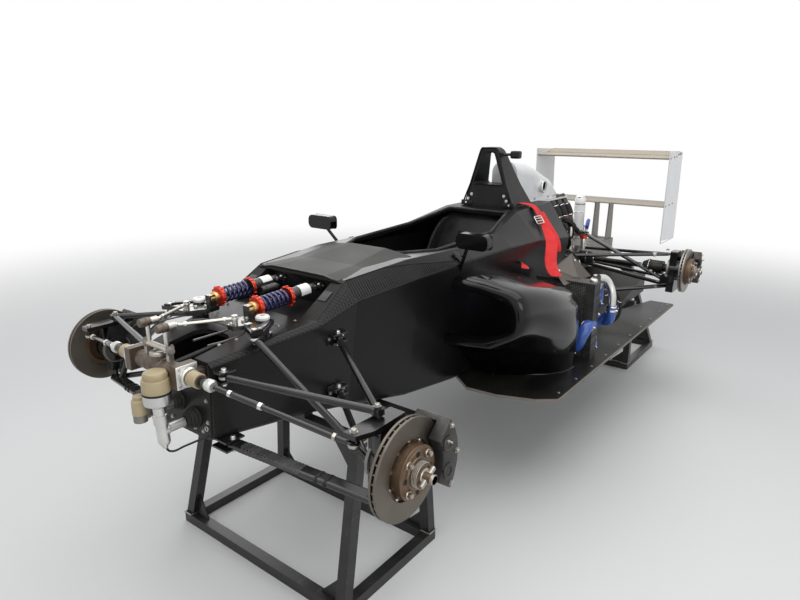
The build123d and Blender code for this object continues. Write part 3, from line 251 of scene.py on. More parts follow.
def hose(points, radius, smooth=True, sides=3):
    """Tube through places in metres: a curve with a round bevel, made a closed mesh."""
    begin()
    bpy.ops.curve.primitive_bezier_curve_add()
    curve = bpy.context.object
    data = curve.data
    data.splines.clear()
    spline = data.splines.new("BEZIER" if smooth else "POLY")
    if smooth:
        spline.bezier_points.add(len(points) - 1)
        for knot, point in zip(spline.bezier_points, points):
            knot.co = point
            knot.handle_left_type = "AUTO"
            knot.handle_right_type = "AUTO"
    else:
        spline.points.add(len(points) - 1)
        for knot, point in zip(spline.points, points):
            knot.co = (*point, 1)
    data.dimensions = "3D"
    data.resolution_u = 6
    data.bevel_depth = radius * MM
    data.bevel_resolution = sides
    data.use_fill_caps = True
    only(curve)
    bpy.ops.object.convert(target="MESH")
    piece = bpy.context.object
    bpy.ops.object.transform_apply(location=True, rotation=True, scale=True)
    return outward(piece)


def tubing(points, radius, **more):
    """Tube through places in millimetres from the front axle."""
    return hose([at(*point) for point in points], radius, **more)


def plate(outline, thickness, matrix, edge=0.0):
    """Flat plate from an outline of (a, b) points in millimetres, drawn in the matrix's plane."""
    begin()
    bpy.ops.mesh.primitive_circle_add(vertices=len(outline), radius=1, fill_type="NGON")
    piece = bpy.context.object
    for vertex, (a, b) in zip(piece.data.vertices, outline):
        vertex.co = (a * MM, b * MM, 0)
    bpy.ops.object.mode_set(mode="EDIT")
    bpy.ops.mesh.select_all(action="SELECT")
    bpy.ops.mesh.extrude_region_move(TRANSFORM_OT_translate={"value": (0, 0, thickness * MM)})
    bpy.ops.object.mode_set(mode="OBJECT")
    outward(piece)
    if edge:
        bevelled(piece, edge * MM, 2)
    return place_by(piece, matrix)


def ribbon(path, width_dir, width, thickness):
    """Flat strap through places in millimetres, as wide as given across each place's own direction."""
    begin()
    count = len(path)
    bpy.ops.mesh.primitive_grid_add(x_subdivisions=count - 1, y_subdivisions=4, size=1)
    piece = bpy.context.object
    if isinstance(width_dir[0], (tuple, Vector)):
        across = [Vector(direction) for direction in width_dir]
    else:
        across = [Vector(width_dir)] * count
    for vertex in piece.data.vertices:
        index = round((vertex.co.x + 0.5) * (count - 1))
        vertex.co = at(*path[index]) + across[index].normalized() * (vertex.co.y * width * MM)
    modify(piece, "SOLIDIFY", thickness=thickness * MM, offset=0)
    return outward(piece)


def hex_bolt(radius=5.0, height=4.0):
    """One hexagon head on its washer, pointing up from the origin."""
    begin()
    bpy.ops.mesh.primitive_cylinder_add(vertices=6, radius=radius * MM, depth=height * MM)
    head = bevelled(bpy.context.object, 0.5 * MM, 1)
    place_by(head, Matrix.Translation((0, 0, (height / 2 + 1) * MM)))
    bpy.ops.mesh.primitive_cylinder_add(vertices=20, radius=radius * 1.35 * MM, depth=1.2 * MM)
    washer = place_by(bpy.context.object, Matrix.Translation((0, 0, 0.5 * MM)))
    return join([head, washer])


def bolts(places, radius=5.0, height=4.0):
    """Hexagon heads at a list of (place, direction)."""
    return spread(hex_bolt(radius, height), [aim(place, direction) for place, direction in places])


def rod_end(start, toward, eye_axis, radius=8.0, reach=34.0):
    """Joint end: threaded neck, lock nut and an eye at the start."""
    start, toward = Vector(start), Vector(toward)
    way = (toward - start).normalized()
    eye = lathe(
        [
            (radius * 0.72, -4), (radius * 1.5, -4), (radius * 1.6, 0), (radius * 1.5, 4),
            (radius * 0.72, 4), (radius * 0.72, -4),
        ],
        aim(start, eye_axis),
        24,
        closed=True,
    )
    neck = drum(start + way * radius * 1.4 * MM, start + way * reach * MM, radius * 0.62, 14)
    nut = drum(start + way * (reach - 9) * MM, start + way * reach * MM, radius * 1.05, 6, 0.4)
    return join([eye, neck, nut])


# Finishes


def add(tree, kind, inputs=None, **settings):
    """One shader node with its settings, and its inputs set or linked."""
    made = tree.nodes.new(kind)
    for key, value in settings.items():
        setattr(made, key, value)
    for key, value in (inputs or {}).items():
        if isinstance(value, bpy.types.NodeSocket):
            tree.links.new(value, made.inputs[key])
        else:
            made.inputs[key].default_value = value
    return made


def maths(tree, operation, first, second=0.0, third=0.0, clamp=False):
    made = add(
        tree, "ShaderNodeMath", {0: first, 1: second, 2: third}, operation=operation, use_clamp=clamp
    )
    return made.outputs[0]


def new_group(name, inputs, outputs):
    """An empty shader group with its sockets, and its input and output nodes."""
    tree = bpy.data.node_groups.new(name, "ShaderNodeTree")
    for label, kind, default in inputs:
        socket = tree.interface.new_socket(label, in_out="INPUT", socket_type=kind)
        socket.default_value = default
    for label, kind in outputs:
        tree.interface.new_socket(label, in_out="OUTPUT", socket_type=kind)
    return tree, tree.nodes.new("NodeGroupInput"), tree.nodes.new("NodeGroupOutput")


FLOAT = "NodeSocketFloat"
COLOUR = "NodeSocketColor"

# Yarns of the weave per metre
WEAVE_CELLS = 330.0


def handled_group():
    """Shop dust on what faces up, patchy handling marks and fine scratches."""
    tree, inp, out = new_group(
        "Handled surface",
        [
            ("Colour", COLOUR, (0.5, 0.5, 0.5, 1)),
            ("Dust Colour", COLOUR, (0.36, 0.33, 0.29, 1)),
            ("Dust", FLOAT, 0.2),
            ("Scratches", FLOAT, 0.2),
            ("Scale", FLOAT, 8.0),
            ("Roughness", FLOAT, 0.4),
            ("Spread", FLOAT, 0.15),
        ],
        [("Colour", COLOUR), ("Roughness", FLOAT), ("Height", FLOAT)],
    )
    coords = tree.nodes.new("ShaderNodeTexCoord")
    place = coords.outputs["Object"]
    patch = add(tree, "ShaderNodeTexNoise", {"Vector": place, "Scale": inp.outputs["Scale"], "Detail": 4.0})
    fine = add(
        tree,
        "ShaderNodeTexNoise",
        {"Vector": place, "Scale": maths(tree, "MULTIPLY", inp.outputs["Scale"], 14.0), "Detail": 3.0},
    )
    long_lines = add(
        tree, "ShaderNodeMapping",
        {"Vector": place, "Scale": (9.0, 60.0, 160.0), "Rotation": (0.3, 0.2, 0.5)},
    )
    lines = add(tree, "ShaderNodeTexNoise", {"Vector": long_lines.outputs[0], "Scale": 1.6, "Detail": 2.0})
    scratch = maths(tree, "SUBTRACT", lines.outputs["Fac"], 0.63)
    scratch = maths(tree, "MULTIPLY", scratch, 9.0, clamp=True)
    scratch = maths(tree, "MULTIPLY", scratch, inp.outputs["Scratches"])
    normal = add(tree, "ShaderNodeSeparateXYZ", {0: coords.outputs["Normal"]})
    settle = maths(tree, "MULTIPLY_ADD", normal.outputs["Z"], 0.55, 0.35, clamp=True)
    blotch = maths(tree, "SUBTRACT", patch.outputs["Fac"], 0.38)
    blotch = maths(tree, "MULTIPLY", blotch, 3.2, clamp=True)
    speckle = maths(tree, "MULTIPLY_ADD", fine.outputs["Fac"], 1.4, -0.2, clamp=True)
    dust = maths(tree, "MULTIPLY", maths(tree, "MULTIPLY", settle, blotch), speckle)
    dust = maths(tree, "MULTIPLY", dust, inp.outputs["Dust"])
    dust = maths(tree, "ADD", dust, maths(tree, "MULTIPLY", scratch, 0.5), clamp=True)
    shade = maths(tree, "MULTIPLY_ADD", patch.outputs["Fac"], 0.5, 0.75)
    varied = add(
        tree, "ShaderNodeVectorMath", {0: inp.outputs["Colour"], "Scale": shade}, operation="SCALE"
    ).outputs[0]
    mixed = add(
        tree,
        "ShaderNodeMix",
        {"Factor": dust, 6: varied, 7: inp.outputs["Dust Colour"]},
        data_type="RGBA",
    )
    rough = maths(
        tree, "MULTIPLY_ADD", maths(tree, "SUBTRACT", patch.outputs["Fac"], 0.5), inp.outputs["Spread"],
        inp.outputs["Roughness"],
    )
    rough = maths(tree, "ADD", rough, maths(tree, "MULTIPLY", dust, 0.4), clamp=True)
    height = maths(tree, "SUBTRACT", maths(tree, "MULTIPLY", fine.outputs["Fac"], 0.5), scratch)
    tree.links.new(mixed.outputs[2], out.inputs["Colour"])
    tree.links.new(rough, out.inputs["Roughness"])
    tree.links.new(height, out.inputs["Height"])
    return tree


def twill_group():
    """Twill weave of woven cloth, read along the car on top faces and up the car on side faces."""
    tree, inp, out = new_group("Twill weave", [("Cells", FLOAT, WEAVE_CELLS)], [("Mask", FLOAT)])
    coords = tree.nodes.new("ShaderNodeTexCoord")
    place = add(tree, "ShaderNodeSeparateXYZ", {0: coords.outputs["Object"]})
    normal = add(tree, "ShaderNodeSeparateXYZ", {0: coords.outputs["Normal"]})
    steep = maths(tree, "LESS_THAN", maths(tree, "ABSOLUTE", normal.outputs["Z"]), 0.6)
    second = add(
        tree,
        "ShaderNodeMix",
        {"Factor": steep, 2: place.outputs["Y"], 3: place.outputs["Z"]},
        data_type="FLOAT",
    ).outputs[0]
    u = maths(tree, "MULTIPLY", place.outputs["X"], inp.outputs["Cells"])
    v = maths(tree, "MULTIPLY", second, inp.outputs["Cells"])
    cells = maths(tree, "ADD", maths(tree, "FLOOR", u), maths(tree, "FLOOR", v))
    mask = maths(tree, "LESS_THAN", maths(tree, "FLOORED_MODULO", cells, 4.0), 2.0)
    tree.links.new(mask, out.inputs["Mask"])
    return tree


def use_group(tree, group, inputs):
    made = tree.nodes.new("ShaderNodeGroup")
    made.node_tree = group
    for key, value in inputs.items():
        if isinstance(value, bpy.types.NodeSocket):
            tree.links.new(value, made.inputs[key])
        else:
            made.inputs[key].default_value = value
    return made


GROUPS = {}
MATERIALS = {}

COAT_ROUGHNESS = 0.12
# Colours darker than this shine less, as satin lacquer does
DEEP_BLACK, DEEP_BLACK_SPECULAR = 0.02, 0.16
# How much paler the raised yarns of a full weave are painted: painted sheen standing for their glint in the
# light
WEAVE_SHEEN_LIFT = 0.027

# name: colour, metallic, roughness, coat, dust, scratches, pattern scale, bump, weave with its painted yarn
# sheen, record slot
FINISHES = {
    "carbon": ((0.005, 0.005, 0.0055), 0.0, 0.33, 0.06, 0.02, 0.02, 7.0, 0.05, 0.6, "carbon"),
    "twill": ((0.03, 0.03, 0.031), 0.1, 0.36, 0.3, 0.16, 0.12, 9.0, 0.08, 1.0, "carbon"),
    "deck_weave": ((0.014, 0.013, 0.012), 0.0, 0.5, 0.0, 0.05, 0.05, 7.0, 0.08, 0.6, "carbon"),
    "gloss_black": ((0.003, 0.003, 0.0033), 0.0, 0.12, 0.28, 0.012, 0.015, 4.0, 0.02, 0.0, "gloss_black"),
    "satin_black": ((0.010, 0.010, 0.010), 0.0, 0.42, 0.1, 0.14, 0.12, 9.0, 0.1, 0.0, "satin_black"),
    "floor_board": ((0.010, 0.0096, 0.0092), 0.0, 0.36, 0.1, 0.1, 0.1, 6.0, 0.08, 0.35, "satin_black"),
    "worn_edge": ((0.16, 0.14, 0.12), 0.0, 0.6, 0.0, 0.3, 0.3, 12.0, 0.1, 0.0, "satin_black"),
    "black_steel": ((0.006, 0.006, 0.0065), 0.1, 0.2, 0.32, 0.06, 0.08, 14.0, 0.04, 0.0, "black_steel"),
    "stand_paint": ((0.008, 0.008, 0.008), 0.1, 0.36, 0.12, 0.12, 0.3, 10.0, 0.12, 0.0, "black_steel"),
    "cast_alloy": ((0.24, 0.23, 0.21), 0.85, 0.5, 0.0, 0.35, 0.2, 20.0, 0.35, 0.0, "cast_alloy"),
    "black_machinery": ((0.03, 0.03, 0.03), 0.3, 0.45, 0.0, 0.35, 0.25, 18.0, 0.2, 0.0, "cast_alloy"),
    "rack_bronze": ((0.125, 0.098, 0.077), 0.75, 0.42, 0.0, 0.3, 0.3, 20.0, 0.2, 0.0, "cast_alloy"),
    "bright_alloy": ((0.62, 0.62, 0.6), 1.0, 0.3, 0.0, 0.12, 0.25, 16.0, 0.08, 0.0, "bright_alloy"),
    "chrome": ((0.78, 0.78, 0.78), 1.0, 0.12, 0.0, 0.05, 0.1, 16.0, 0.02, 0.0, "bright_alloy"),
    "brass": ((0.62, 0.42, 0.18), 1.0, 0.3, 0.0, 0.12, 0.2, 20.0, 0.06, 0.0, "bright_alloy"),
    "wing_alloy": ((0.44, 0.38, 0.29), 0.15, 0.42, 0.15, 0.2, 0.2, 5.0, 0.05, 0.0, "wing_alloy"),
    "wing_white": ((0.76, 0.77, 0.79), 0.0, 0.3, 0.4, 0.14, 0.25, 5.0, 0.03, 0.0, "wing_white"),
    "red_anodised": ((0.60, 0.045, 0.02), 0.6, 0.32, 0.0, 0.12, 0.2, 20.0, 0.05, 0.0, "bright_alloy"),
    "blue_anodised": ((0.03, 0.05, 0.32), 0.6, 0.3, 0.0, 0.1, 0.15, 20.0, 0.05, 0.0, "bright_alloy"),
    "spring_blue": ((0.022, 0.024, 0.105), 0.3, 0.26, 0.4, 0.08, 0.12, 20.0, 0.05, 0.0, "spring_blue"),
    "damper_black": ((0.02, 0.02, 0.022), 0.3, 0.34, 0.1, 0.15, 0.25, 20.0, 0.05, 0.0, "damper_steel"),
    "damper_steel": ((0.5, 0.47, 0.42), 0.9, 0.34, 0.0, 0.15, 0.2, 20.0, 0.08, 0.0, "damper_steel"),
    "caliper_grey": ((0.034, 0.033, 0.032), 0.5, 0.5, 0.0, 0.45, 0.3, 22.0, 0.25, 0.0, "caliper_grey"),
    "bell_bronze": ((0.155, 0.10, 0.06), 0.75, 0.4, 0.0, 0.35, 0.25, 18.0, 0.12, 0.0, "hub_steel"),
    "hub_steel": ((0.42, 0.4, 0.37), 0.95, 0.36, 0.0, 0.25, 0.3, 20.0, 0.12, 0.0, "hub_steel"),
    "pale_composite": ((0.70, 0.71, 0.71), 0.0, 0.36, 0.3, 0.25, 0.2, 6.0, 0.04, 0.0, "pale_composite"),
    "cover_sheet": ((0.075, 0.062, 0.05), 0.2, 0.42, 0.1, 0.16, 0.2, 8.0, 0.08, 0.0, "pale_composite"),
    "cream": ((0.42, 0.34, 0.2), 0.0, 0.45, 0.1, 0.2, 0.15, 16.0, 0.04, 0.0, "bright_alloy"),
    "label": ((0.8, 0.8, 0.78), 0.0, 0.4, 0.1, 0.15, 0.2, 20.0, 0.02, 0.0, "bright_alloy"),
    "rubber": ((0.015, 0.015, 0.015), 0.0, 0.62, 0.0, 0.3, 0.1, 14.0, 0.15, 0.0, "grip"),
    "tape": ((0.03, 0.03, 0.031), 0.0, 0.55, 0.0, 0.25, 0.3, 26.0, 0.3, 0.0, "satin_black"),
    "blue_silicone": ((0.03, 0.09, 0.36), 0.0, 0.36, 0.2, 0.15, 0.1, 12.0, 0.08, 0.0, "bright_alloy"),
    "grip": ((0.02, 0.02, 0.021), 0.0, 0.7, 0.0, 0.2, 0.2, 30.0, 0.3, 0.0, "grip"),
    "webbing": ((0.64, 0.008, 0.01), 0.0, 0.72, 0.0, 0.15, 0.05, 30.0, 0.2, 0.0, "webbing"),
    "mirror_glass": ((0.85, 0.87, 0.9), 1.0, 0.04, 0.0, 0.04, 0.03, 6.0, 0.0, 0.0, "bright_alloy"),
    "copper": ((0.45, 0.22, 0.12), 1.0, 0.4, 0.0, 0.2, 0.2, 16.0, 0.1, 0.0, "bright_alloy"),
}


# The weave, its raised yarns painted paler as painted sheen, shows from the back of the damper shelf
# forward, and is lacquered over behind it
BARE_WEAVE_FROM = -363


def ahead_of(tree, station):
    """1 ahead of a station along the car, 0 behind it."""
    coords = tree.nodes.new("ShaderNodeTexCoord")
    place = add(tree, "ShaderNodeSeparateXYZ", {0: coords.outputs["Object"]})
    return maths(tree, "GREATER_THAN", place.outputs["X"], (station + ORIGIN_SHIFT) * MM)


def shafted_hub(name, base_name, outer, inner, border):
    """Hub finish that turns to dark steel inboard of a distance from the middle of the car."""
    tree = make_finish(name, *FINISHES[base_name])[0]
    worn = next(node for node in tree.nodes if node.type == "GROUP" and node.node_tree == GROUPS["handled"])
    coords = tree.nodes.new("ShaderNodeTexCoord")
    place = add(tree, "ShaderNodeSeparateXYZ", {0: coords.outputs["Object"]})
    outboard = maths(tree, "GREATER_THAN", maths(tree, "ABSOLUTE", place.outputs["Y"]), border * MM)
    tone = add(
        tree, "ShaderNodeMix", {"Factor": outboard, 6: (*inner, 1), 7: (*outer, 1)}, data_type="RGBA"
    )
    tree.links.new(tone.outputs[2], worn.inputs["Colour"])


def make_finish(name, colour, metallic, roughness, coat, dust, scratches, scale, bump, weave, record_slot):
    """One procedural material: the shared handling group, with the weave's painted yarn sheen over it where
    wanted.
    """
    material = bpy.data.materials.new(name)
    material.use_nodes = True
    material.diffuse_color = (*colour, 1)
    tree = material.node_tree
    shader = tree.nodes["Principled BSDF"]
    shader.inputs["Metallic"].default_value = metallic
    shader.inputs["Coat Weight"].default_value = coat
    shader.inputs["Coat Roughness"].default_value = COAT_ROUGHNESS
    if max(colour) < DEEP_BLACK and metallic == 0:
        shader.inputs["Specular IOR Level"].default_value = DEEP_BLACK_SPECULAR
    base = (*colour, 1)
    if weave:
        cloth = use_group(tree, GROUPS["twill"], {"Cells": WEAVE_CELLS})
        # Painted sheen: the twill pattern is the cloth's own, and its raised yarns are drawn paler to stand
        # for their glint
        sheen_lit = tuple(min(1, c + WEAVE_SHEEN_LIFT * weave * (1 - 0.12 * k)) for k, c in enumerate(colour))
        bare = maths(tree, "MULTIPLY", cloth.outputs["Mask"], ahead_of(tree, BARE_WEAVE_FROM))
        base = add(
            tree, "ShaderNodeMix", {"Factor": bare, 6: (*colour, 1), 7: (*sheen_lit, 1)}, data_type="RGBA"
        ).outputs[2]
    worn = use_group(
        tree,
        GROUPS["handled"],
        {
            "Colour": base,
            "Dust": dust,
            "Scratches": scratches,
            "Scale": scale,
            "Roughness": roughness,
            "Spread": 0.3 * roughness + 0.05,
        },
    )
    tree.links.new(worn.outputs["Colour"], shader.inputs["Base Color"])
    tree.links.new(worn.outputs["Roughness"], shader.inputs["Roughness"])
    relief = add(
        tree, "ShaderNodeBump", {"Height": worn.outputs["Height"], "Strength": bump, "Distance": 0.002}
    )
    tree.links.new(relief.outputs[0], shader.inputs["Normal"])
    MATERIALS[name] = material
    return tree, shader


def turned_iron(name, axle, colour, record_slot):
    """Brake disc face with fine turned rings about its axle."""
    tree, shader = make_finish(name, colour, 0.9, 0.38, 0.0, 0.12, 0.1, 14.0, 0.1, 0.0, record_slot)
    coords = tree.nodes.new("ShaderNodeTexCoord")
    place = add(tree, "ShaderNodeSeparateXYZ", {0: coords.outputs["Object"]})
    across = maths(tree, "SUBTRACT", place.outputs["X"], (axle[0] + ORIGIN_SHIFT) * MM)
    above = maths(tree, "SUBTRACT", place.outputs["Z"], axle[1] * MM)
    radius = maths(
        tree, "SQRT",
        maths(tree, "ADD", maths(tree, "POWER", across, 2.0), maths(tree, "POWER", above, 2.0)),
    )
    grooves = add(
        tree, "ShaderNodeTexNoise", {"W": maths(tree, "MULTIPLY", radius, 900.0), "Detail": 2.0},
        noise_dimensions="1D"
    )
    relief = add(
        tree, "ShaderNodeBump", {"Height": grooves.outputs["Fac"], "Strength": 0.35, "Distance": 0.001}
    )
    tree.links.new(relief.outputs[0], shader.inputs["Normal"])


# Colours of the discs and of the driveshafts, and how far out from the middle of the car these reach
FRONT_IRON, REAR_IRON = (0.15, 0.132, 0.11), (0.29, 0.27, 0.25)
SHAFT_STEEL, SHAFT_ENDS = (0.022, 0.02, 0.019), 742

# How each frame piece's name starts, and its finish
NODE_FINISHES = [
    ("tub", "carbon"),
    ("front_bulkhead", "satin_black"),
    ("cockpit_deck", "deck_weave"),
    ("dash_plate", "satin_black"),
    ("roll_hoop", "satin_black"),
    ("seat", "satin_black"),
    ("harness", "webbing"),
    ("mirrors", "gloss_black"),
    ("floor", "floor_board"),
    ("diffuser", "floor_board"),
    ("sidepod", "gloss_black"),
    ("duct_covers", "cover_sheet"),
    ("radiators", "black_machinery"),
    ("coolant_pipes", "bright_alloy"),
    ("engine", "black_machinery"),
    ("airbox", "pale_composite"),
    ("gearbox", "cast_alloy"),
    ("wing_mount", "cast_alloy"),
    ("wing_", "wing_alloy"),
    ("endplates", "wing_white"),
    ("front_wishbones", "black_steel"),
    ("front_pushrods", "black_steel"),
    ("front_rockers", "black_steel"),
    ("front_dampers", "damper_black"),
    ("front_springs", "spring_blue"),
    ("anti_roll_bar", "damper_steel"),
    ("rack_housing", "rack_bronze"),
    ("master_cylinders", "bright_alloy"),
    ("rear_wishbones", "black_steel"),
    ("rear_uprights", "black_steel"),
    ("front_upright", "black_steel"),
    ("stand", "stand_paint"),
    ("rack_bar", "black_steel"),
    ("steering_column", "satin_black"),
    ("steering_wheel", "grip"),
    ("front_caliper", "caliper_grey"),
    ("rear_calipers", "caliper_grey"),
    ("front_hub", "bell_bronze"),
    ("rear_hub", "rear_hub_finish"),
    ("front_disc", "front_iron"),
    ("rear_disc", "rear_iron"),
]


def build_finishes(colours):
    GROUPS["handled"] = handled_group()
    GROUPS["twill"] = twill_group()
    for name, values in FINISHES.items():
        values = (tuple(getattr(colours, name)[:3]), *values[1:]) if hasattr(colours, name) else values
        make_finish(name, *values)
    shafted_hub("rear_hub_finish", "bell_bronze", FINISHES["bell_bronze"][0], SHAFT_STEEL, SHAFT_ENDS)
    turned_iron("front_iron", FRONT_AXLE, FRONT_IRON, "disc_iron")
    turned_iron("rear_iron", REAR_AXLE, REAR_IRON, "disc_iron")
    for node_name, node in NODES.items():
        finish = next(finish for start, finish in NODE_FINISHES if node_name.startswith(start))
        node.data.materials.clear()
        node.data.materials.append(MATERIALS[finish])


# Sizes and colours that a user would change


def colour_property(name, value, description):
    return bpy.props.FloatVectorProperty(
        name=name, description=description, subtype="COLOR", size=4, min=0, max=1, default=(*value, 1)
    )


def length_property(name, value, description):
    return bpy.props.FloatProperty(
        name=name, description=description + ", in millimetres", default=value, min=0.1, max=2000
    )


def count_property(name, value, description):
    return bpy.props.IntProperty(name=name, description=description, default=value, min=1, max=400)


class CarColours(bpy.types.PropertyGroup):
    """Colours of the car's main surfaces."""

    carbon: colour_property("Carbon", FINISHES["carbon"][0], "Satin lacquered tub")
    twill: colour_property("Twill", FINISHES["twill"][0], "Front deck shelf")
    gloss_black: colour_property(
        "Sidepods", FINISHES["gloss_black"][0], "Gloss paint of the sidepods and mirrors"
    )
    wing_alloy: colour_property("Wing planes", FINISHES["wing_alloy"][0], "Both rear wing planes")
    wing_white: colour_property("Endplates", FINISHES["wing_white"][0], "Both rear endplates")
    spring_blue: colour_property("Springs", FINISHES["spring_blue"][0], "Front coil springs")
    webbing: colour_property("Belts", FINISHES["webbing"][0], "Harness webbing")
    stand_paint: colour_property("Stands", FINISHES["stand_paint"][0], "Paint of both stands")
    bell_bronze: colour_property("Hubs", FINISHES["bell_bronze"][0], "Bells and hub noses")


class CarSizes(bpy.types.PropertyGroup):
    """Sizes and counts of the fitted details."""

    spring_turns: count_property("Spring turns", 6, "Working turns of each front spring")
    spring_wire: length_property("Spring wire", 5.0, "Radius of the spring wire")
    vent_count: count_property("Disc vents", 36, "Vanes round each brake disc")
    rib_pitch: length_property("Rib pitch", 11.0, "Distance between the ribs of the shoulder band")
    strap_width: length_property("Belt width", 58.0, "Width of the shoulder belts")
    strap_thickness: length_property("Belt thickness", 2.6, "Thickness of the belt webbing")
    fin_pitch: length_property("Radiator fins", 7.0, "Distance between the rows of the radiator core")


class StageSettings(bpy.types.PropertyGroup):
    """Floor, light and camera."""

    floor_colour: colour_property("Floor", (0.72, 0.72, 0.71), "Plain studio floor")
    key_power: bpy.props.FloatProperty(
        name="Key light", description="Large soft light overhead", default=150.0, unit="POWER"
    )
    side_power: bpy.props.FloatProperty(
        name="Side light", description="Soft light from the camera's side", default=70.0, unit="POWER"
    )
    sky: bpy.props.FloatProperty(
        name="Surround", description="Even light from all round", default=0.42, min=0, max=1
    )
    camera_place: bpy.props.FloatVectorProperty(
        name="Camera", description="Place of the camera", default=(2.7651, 1.5549, 1.5497),
        subtype="TRANSLATION", unit="LENGTH"
    )
    camera_yaw: bpy.props.FloatProperty(
        name="Yaw", description="Turn from straight back", default=math.radians(37.245), subtype="ANGLE"
    )
    camera_pitch: bpy.props.FloatProperty(
        name="Pitch", description="Tilt down", default=math.radians(15.719), subtype="ANGLE"
    )
    camera_roll: bpy.props.FloatProperty(
        name="Roll", description="Turn about the line of sight", default=math.radians(0.50),
        subtype="ANGLE",
    )
    camera_lens: bpy.props.FloatProperty(
        name="Lens", description="Focal length for a 36 mm sensor, in millimetres", default=27.23
    )


def sizes():
    return bpy.context.scene.car_sizes


# Metres from the middle of the floor where it starts to turn white, and where it is all white
FADE_START, FADE_END = 2.6, 7.5

# Operators, one for each group of like pieces

OPERATORS = []


def listed(operator):
    """Keeps the operators in the order in which they are run."""
    OPERATORS.append(operator)
    return operator


@listed
class CAR_OT_stage(bpy.types.Operator):
    """Floor, soft light, surround and camera"""

    bl_idname = "car.stage"
    bl_label = "Stage"

    def execute(self, context):
        stage = context.scene.car_stage
        self.floor(stage)
        self.surround(context, stage)
        self.light("Key", (1.2, 0.4, 4.2), (0, 0, -1), 5.5, 5.0, stage.key_power)
        self.light("Side", (3.2, 4.4, 2.6), (-0.55, -0.75, -0.32), 3.5, 2.2, stage.side_power)
        self.light("Far", (-2.5, -4.0, 2.8), (0.4, 0.75, -0.42), 3.5, 1.8, stage.side_power * 0.7)
        self.camera(context, stage)
        return {"FINISHED"}

    def floor(self, stage):
        begin()
        bpy.ops.mesh.primitive_grid_add(x_subdivisions=2, y_subdivisions=2, size=60)
        floor = bpy.context.object
        floor.name = "studio_floor"
        material = bpy.data.materials.new("studio_floor")
        material.use_nodes = True
        tree = material.node_tree
        shader = tree.nodes["Principled BSDF"]
        shader.inputs["Base Color"].default_value = stage.floor_colour
        shader.inputs["Roughness"].default_value = 0.8
        self.fade(tree, shader)
        floor.data.materials.append(material)

    def fade(self, tree, shader):
        """Far from the car the floor turns into the white surround."""
        coords = tree.nodes.new("ShaderNodeTexCoord")
        away = add(
            tree, "ShaderNodeVectorMath", {0: coords.outputs["Object"]}, operation="LENGTH"
        ).outputs["Value"]
        far = add(
            tree, "ShaderNodeMapRange", {"Value": away, "From Min": FADE_START, "From Max": FADE_END},
            interpolation_type="SMOOTHSTEP",
        )
        path = tree.nodes.new("ShaderNodeLightPath")
        seen = maths(tree, "MAXIMUM", path.outputs["Is Camera Ray"], path.outputs["Is Transmission Ray"])
        seen = maths(tree, "MAXIMUM", seen, path.outputs["Is Glossy Ray"])
        white = add(tree, "ShaderNodeEmission", {"Color": (1, 1, 1, 1), "Strength": 1.0})
        share = maths(tree, "MULTIPLY", far.outputs[0], seen)
        mixed = add(tree, "ShaderNodeMixShader", {0: share, 1: shader.outputs[0], 2: white.outputs[0]})
        tree.links.new(mixed.outputs[0], tree.nodes["Material Output"].inputs["Surface"])

    def surround(self, context, stage):
        world = bpy.data.worlds.new("surround")
        context.scene.world = world
        world.use_nodes = True
        tree = world.node_tree
        tree.nodes.clear()
        path = tree.nodes.new("ShaderNodeLightPath")
        seen = maths(tree, "MAXIMUM", path.outputs["Is Camera Ray"], path.outputs["Is Transmission Ray"])
        seen = maths(tree, "MAXIMUM", seen, path.outputs["Is Glossy Ray"])
        plain = add(tree, "ShaderNodeBackground", {"Color": (0.93, 0.95, 1.0, 1), "Strength": stage.sky})
        white = add(tree, "ShaderNodeBackground", {"Color": (1, 1, 1, 1), "Strength": 1.0})
        mixed = add(tree, "ShaderNodeMixShader", {0: seen, 1: plain.outputs[0], 2: white.outputs[0]})
        out = tree.nodes.new("ShaderNodeOutputWorld")
        tree.links.new(mixed.outputs[0], out.inputs["Surface"])
        context.scene.view_settings.view_transform = "Standard"

    def light(self, name, place, direction, width, height, power):
        begin()
        bpy.ops.object.light_add(type="AREA", location=place)
        lamp = bpy.context.object
        lamp.name = name
        lamp.data.shape = "RECTANGLE"
        lamp.data.size = width
        lamp.data.size_y = height
        lamp.data.energy = power
        lamp.rotation_euler = Vector(direction).to_track_quat("-Z", "Y").to_euler()

    def camera(self, context, stage):
        yaw, pitch, roll = stage.camera_yaw, stage.camera_pitch, stage.camera_roll
        forward = Vector(
            (-math.cos(yaw) * math.cos(pitch), -math.sin(yaw) * math.cos(pitch), -math.sin(pitch))
        )
        level = Vector((-math.sin(yaw), math.cos(yaw), 0))
        upright = level.cross(forward)
        right = level * math.cos(roll) + upright * math.sin(roll)
        up = upright * math.cos(roll) - level * math.sin(roll)
        begin()
        bpy.ops.object.camera_add()
        camera = bpy.context.object
        turn = Matrix((right, up, -forward)).transposed().to_4x4()
        camera.matrix_world = Matrix.Translation(Vector(stage.camera_place)) @ turn
        camera.data.lens = stage.camera_lens
        camera.data.sensor_width = 36
        context.scene.camera = camera


@listed
class CAR_OT_finishes(bpy.types.Operator):
    """Materials, and their assignment to every piece of the frame"""

    bl_idname = "car.finishes"
    bl_label = "Finishes"

    def execute(self, context):
        build_finishes(context.scene.car_colours)
        return {"FINISHED"}


def along(start, end, share):
    return Vector(start).lerp(Vector(end), share)


def rounded(points, radii, steps=5):
    """Points of an open or closed outline with its corners rounded, in the outline's own units."""
    out = []
    count = len(points)
    for index, point in enumerate(points):
        radius = radii[index]
        if radius == 0:
            out.append(Vector(point))
            continue
        here = Vector(point)
        before = Vector(points[index - 1]) - here
        after = Vector(points[(index + 1) % count]) - here
        half = before.angle(after) / 2
        reach = min(radius / math.tan(half), before.length * 0.45, after.length * 0.45)
        start = here + before.normalized() * reach
        end = here + after.normalized() * reach
        for step in range(steps + 1):
            share = step / steps
            first = start.lerp(here, share)
            second = here.lerp(end, share)
            out.append(first.lerp(second, share))
    return out


